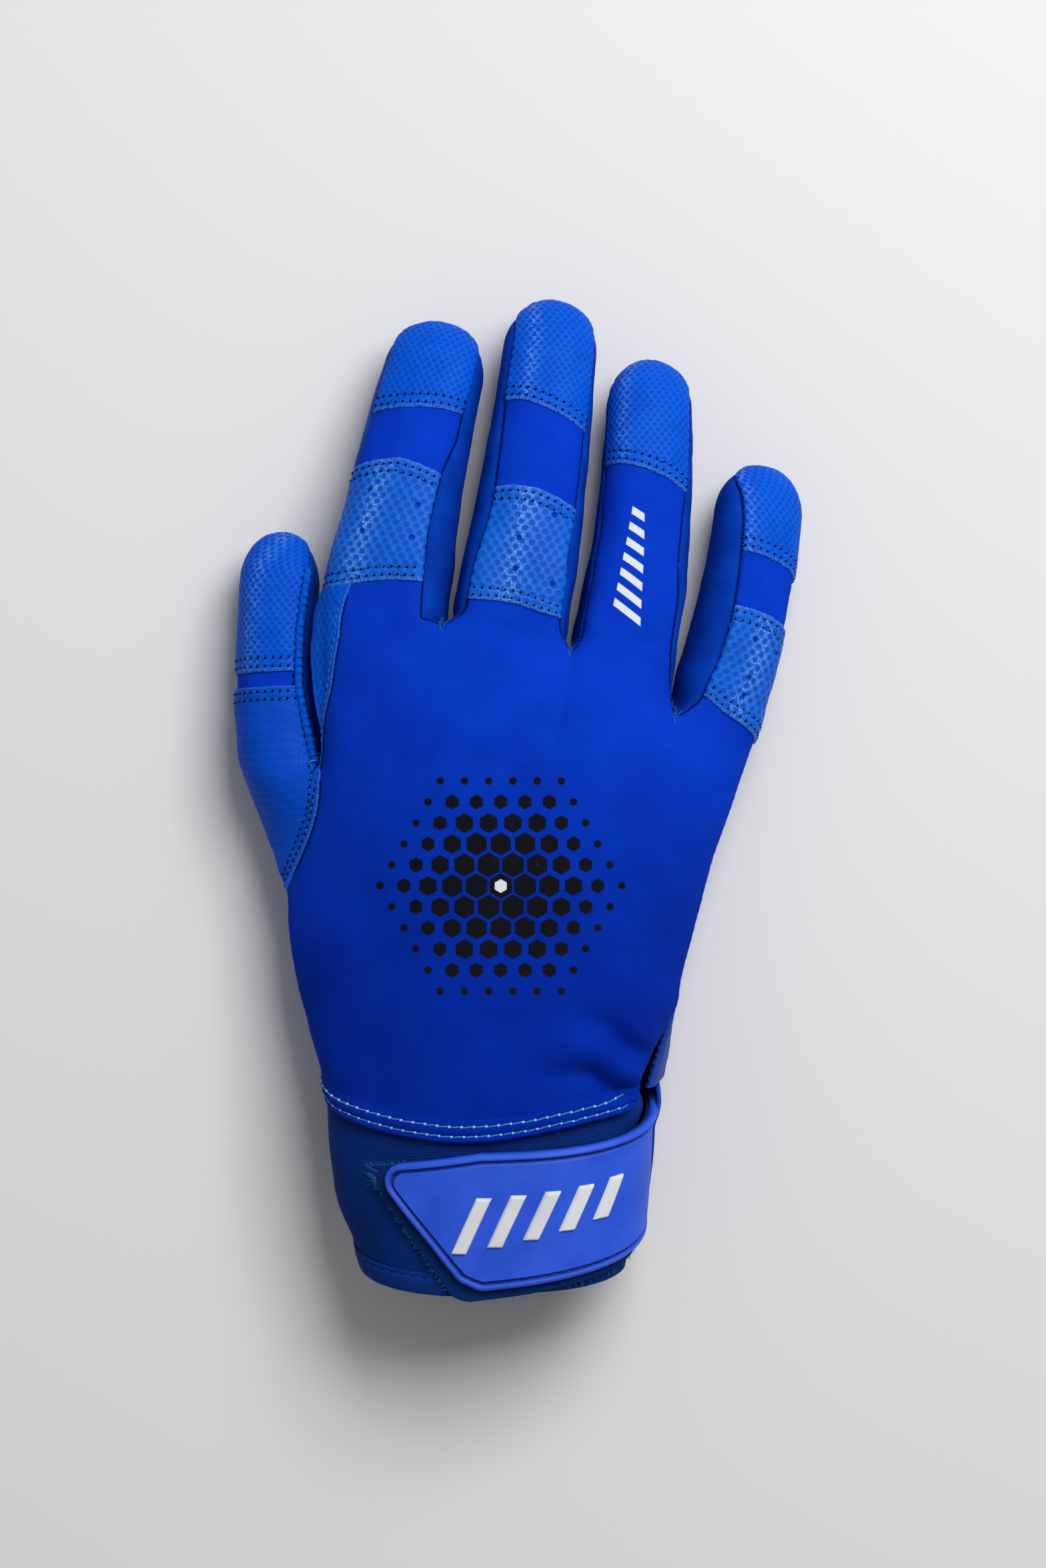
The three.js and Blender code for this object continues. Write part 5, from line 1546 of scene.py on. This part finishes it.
blue_nodes = rubber_nodes((0.014, 0.075, 0.62), (0.024, 0.105, 0.76))
white_nodes = rubber_nodes((0.66, 0.68, 0.72), (0.78, 0.79, 0.82))
rubber = finish("moulded_rubber", blue_nodes, Specular_IOR_Level=0.28)
white_rubber = finish("white_rubber", white_nodes, Specular_IOR_Level=0.3)
hook_tape = finish("hook_tape", hook_nodes, Specular_IOR_Level=0.1)
COVER = corners((147, 8.2), (96, 4.0), (-18, 2.0), (-18, 28.6), (96, 35.6), (109, 33.4))
TAPE = corners((151, 9.2), (96, 4.6), (-18, 2.6), (-18, 31.0), (104, 38.8), (114, 38.0))
COVER_ROUND, COVER_BASE, COVER_TOP, BORDER, GROOVE = 4.6, 1.55, 3.4, 1.75, 0.42
x, y = flat_tab(COVER, COVER_ROUND, 0.265)
d = edge_distance(x, y, COVER, COVER_ROUND)
groove = np.exp(-(((d - BORDER) / GROOVE) ** 4))
lift = COVER_TOP - 0.55 * (1 - smooth(d, -0.1, 0.75)) - 0.75 * groove - 0.12 * smooth(d, BORDER, BORDER + 0.9)
lift = lift + 0.05 * ripple(on_strap(x, y, 2.0), 16, 31)
# The groove field carries the painted shade of the groove into the rubber's colour
cover = strap_piece("strap_cover", x, y, lift, COVER_TOP - COVER_BASE, rubber, [("groove", groove * 0.85)])
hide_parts("strap_moulded_cover")
x, y = flat_tab(TAPE, 4.0, 0.55)
tape = strap_piece("strap_tape", x, y, 1.5 + 0.06 * ripple(on_strap(x, y, 1.0), 2.2, 5), 0.85, hook_tape)
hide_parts("strap_hook_tape")
root_down = np.linspace(-3.0, 24, 60)[:, None]
root_end = np.interp(root_down, (-3.0, -0.7, 4, 24), (-4, 1, 5, -6))
root_top = np.interp(root_down, (-3.0, -0.7, 1.8, 4, 24), (1.6, 2.6, 3.5, 3.8, 3.7))
root_degrees = mix(-46.0, root_end, np.linspace(0, 1, 48)[None])
root_lift = mix(0.9, root_top, smooth(root_degrees, -46, -23))
root_lift = root_lift + 0.08 * ripple(cuff_at(root_degrees, root_down, 0.0), 9, 14)
strap_root = on_cuff("strap_root_leather", root_degrees, root_down, root_lift, 0.9, palm_leather)
a, b = cuff_at(np.array([-38.0, -12.0]), 13.0, 2.0) * MM
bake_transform(strap_root)
line = rounded_line(COVER, COVER_ROUND, BORDER)
fine = np.linspace(0, len(line) - 1, 3000)
line = np.stack([np.interp(fine, np.arange(len(line)), line[:, k]) for k in (0, 1)], -1)
groove_run = strap_frame(*line.T, COVER_TOP - 0.62)
strap_thread = stitches("strap_thread", [groove_run], 2.9, (2.1, 0.42), jersey_thread, 0.06)
fray = []
for (a, b), count in (((5, 0), 130), ((3, 4), 90), ((0, 1), 24)):
    along_edge = TAPE[b] - TAPE[a]
    outward = np.array([along_edge[1], -along_edge[0]]) / np.linalg.norm(along_edge)
    flat = TAPE[a] + along_edge * np.linspace(0.06, 0.94, count)[:, None] * (1 if a else 0.4) - outward * 0.3
    root, up = strap_frame(*flat.T, 1.35)
    fray.append((root, unit(strap_frame(*(flat + outward).T, 1.35)[0] - root), up))
root, out, up = (np.concatenate(a) for a in zip(*fray))
strap_fray = fibres("strap_tape_fray", root, out, up, 1.5, 0.16, fray_thread, 3)
flat = np.repeat([TAPE[0] + (4.2, 1.4), TAPE[0] + (3.6, 3.2)], 7, 0)
root, up = strap_frame(*flat.T, 1.3)
out = unit(strap_frame(*(flat - (1, 0)).T, 1.3)[0] - root)
strap_tuft = fibres("strap_tape_tuft", root, out, up, 4.2, 0.18, fray_thread, 12)
BARS, BAR_PITCH, BAR_WIDE, BAR_LEAN = 5, 7.4, 3.3, -0.42
bar_x = corners((101, 0))[0, 0] + BAR_PITCH * np.arange(BARS)[:, None, None]
bar_tall = 13.0 - 1.0 * np.arange(BARS)[:, None, None]
u, w = np.meshgrid(columns(12, 0.9) - 0.5, columns(30, 0.9) - 0.5)
x = bar_x + BAR_WIDE * u + BAR_LEAN * bar_tall * w
y = np.interp(bar_x, *corners((107, 20.6), (10, 13.6)).T) + bar_tall * w
inside = np.minimum(BAR_WIDE * (0.5 - np.abs(u)), bar_tall * (0.5 - np.abs(w)))
lift = COVER_TOP - 0.2 + 0.75 * np.sqrt(np.clip(1 - (1 - np.clip(inside / 0.6, 0, 1)) ** 2, 0, 1))
grid, normal = strap_frame(x, y, lift)
faces = (quads(*u.shape)[None, :, ::-1] + (np.arange(BARS) * u.size)[:, None, None]).reshape(-1, 4)
bars = shell("strap_bars", grid, normal, np.stack([x, y], -1), 0.5, white_rubber, faces)
for piece, slot in (
    (cover, "moulded_rubber"), (bars, "moulded_rubber"), (strap_thread, "moulded_rubber"),
    (tape, "hook_and_loop"), (strap_fray, "hook_and_loop"), (strap_tuft, "hook_and_loop"),
):
    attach(piece, "strap")


# Studio: a pale sheet, even white light from all round and one large soft lamp from the finger side, and a
# camera straight above the glove.
floor_mesh = bpy.data.meshes.new("floor")
floor_mesh.from_pydata([(-1.5, -1.5, 0), (1.5, -1.5, 0), (1.5, 1.5, 0), (-1.5, 1.5, 0)], [], [(0, 1, 2, 3)])
floor_mesh.materials.append(finish(
    "pale_sheet",
    lambda v: {"Base_Color": v.node("TexNoise", sockets={"Scale": 3.0}).tint((0.78,) * 3, (0.8,) * 3)},
    Roughness=0.9,
))
floor = bpy.data.objects.new("floor", floor_mesh)
bpy.context.scene.collection.objects.link(floor)

world = bpy.data.worlds.new("studio")
world.use_nodes = True
world.node_tree.nodes["Background"].inputs["Color"].default_value = (1, 1, 1, 1)
world.node_tree.nodes["Background"].inputs["Strength"].default_value = 0.26
bpy.context.scene.world = world
lamp = bpy.data.objects.new("lamp", bpy.data.lights.new("lamp", "AREA"))
lamp.data.energy, lamp.data.size = 13.5, 0.7
lamp.location, lamp.rotation_euler = (0.4, 0.66, 0.95), (-0.542, 0.406, 0)
bpy.context.scene.collection.objects.link(lamp)

camera = bpy.data.objects.new("camera", bpy.data.cameras.new("camera"))
camera.location = (0.00735, 0.0532, 1.425)
camera.data.sensor_fit = "VERTICAL"
camera.data.sensor_height, camera.data.lens = 36, 36 * 1.4 / 0.35265
camera.data.clip_end = 10
bpy.context.scene.collection.objects.link(camera)
bpy.context.scene.camera = camera
bpy.context.scene.view_settings.view_transform = "Standard"
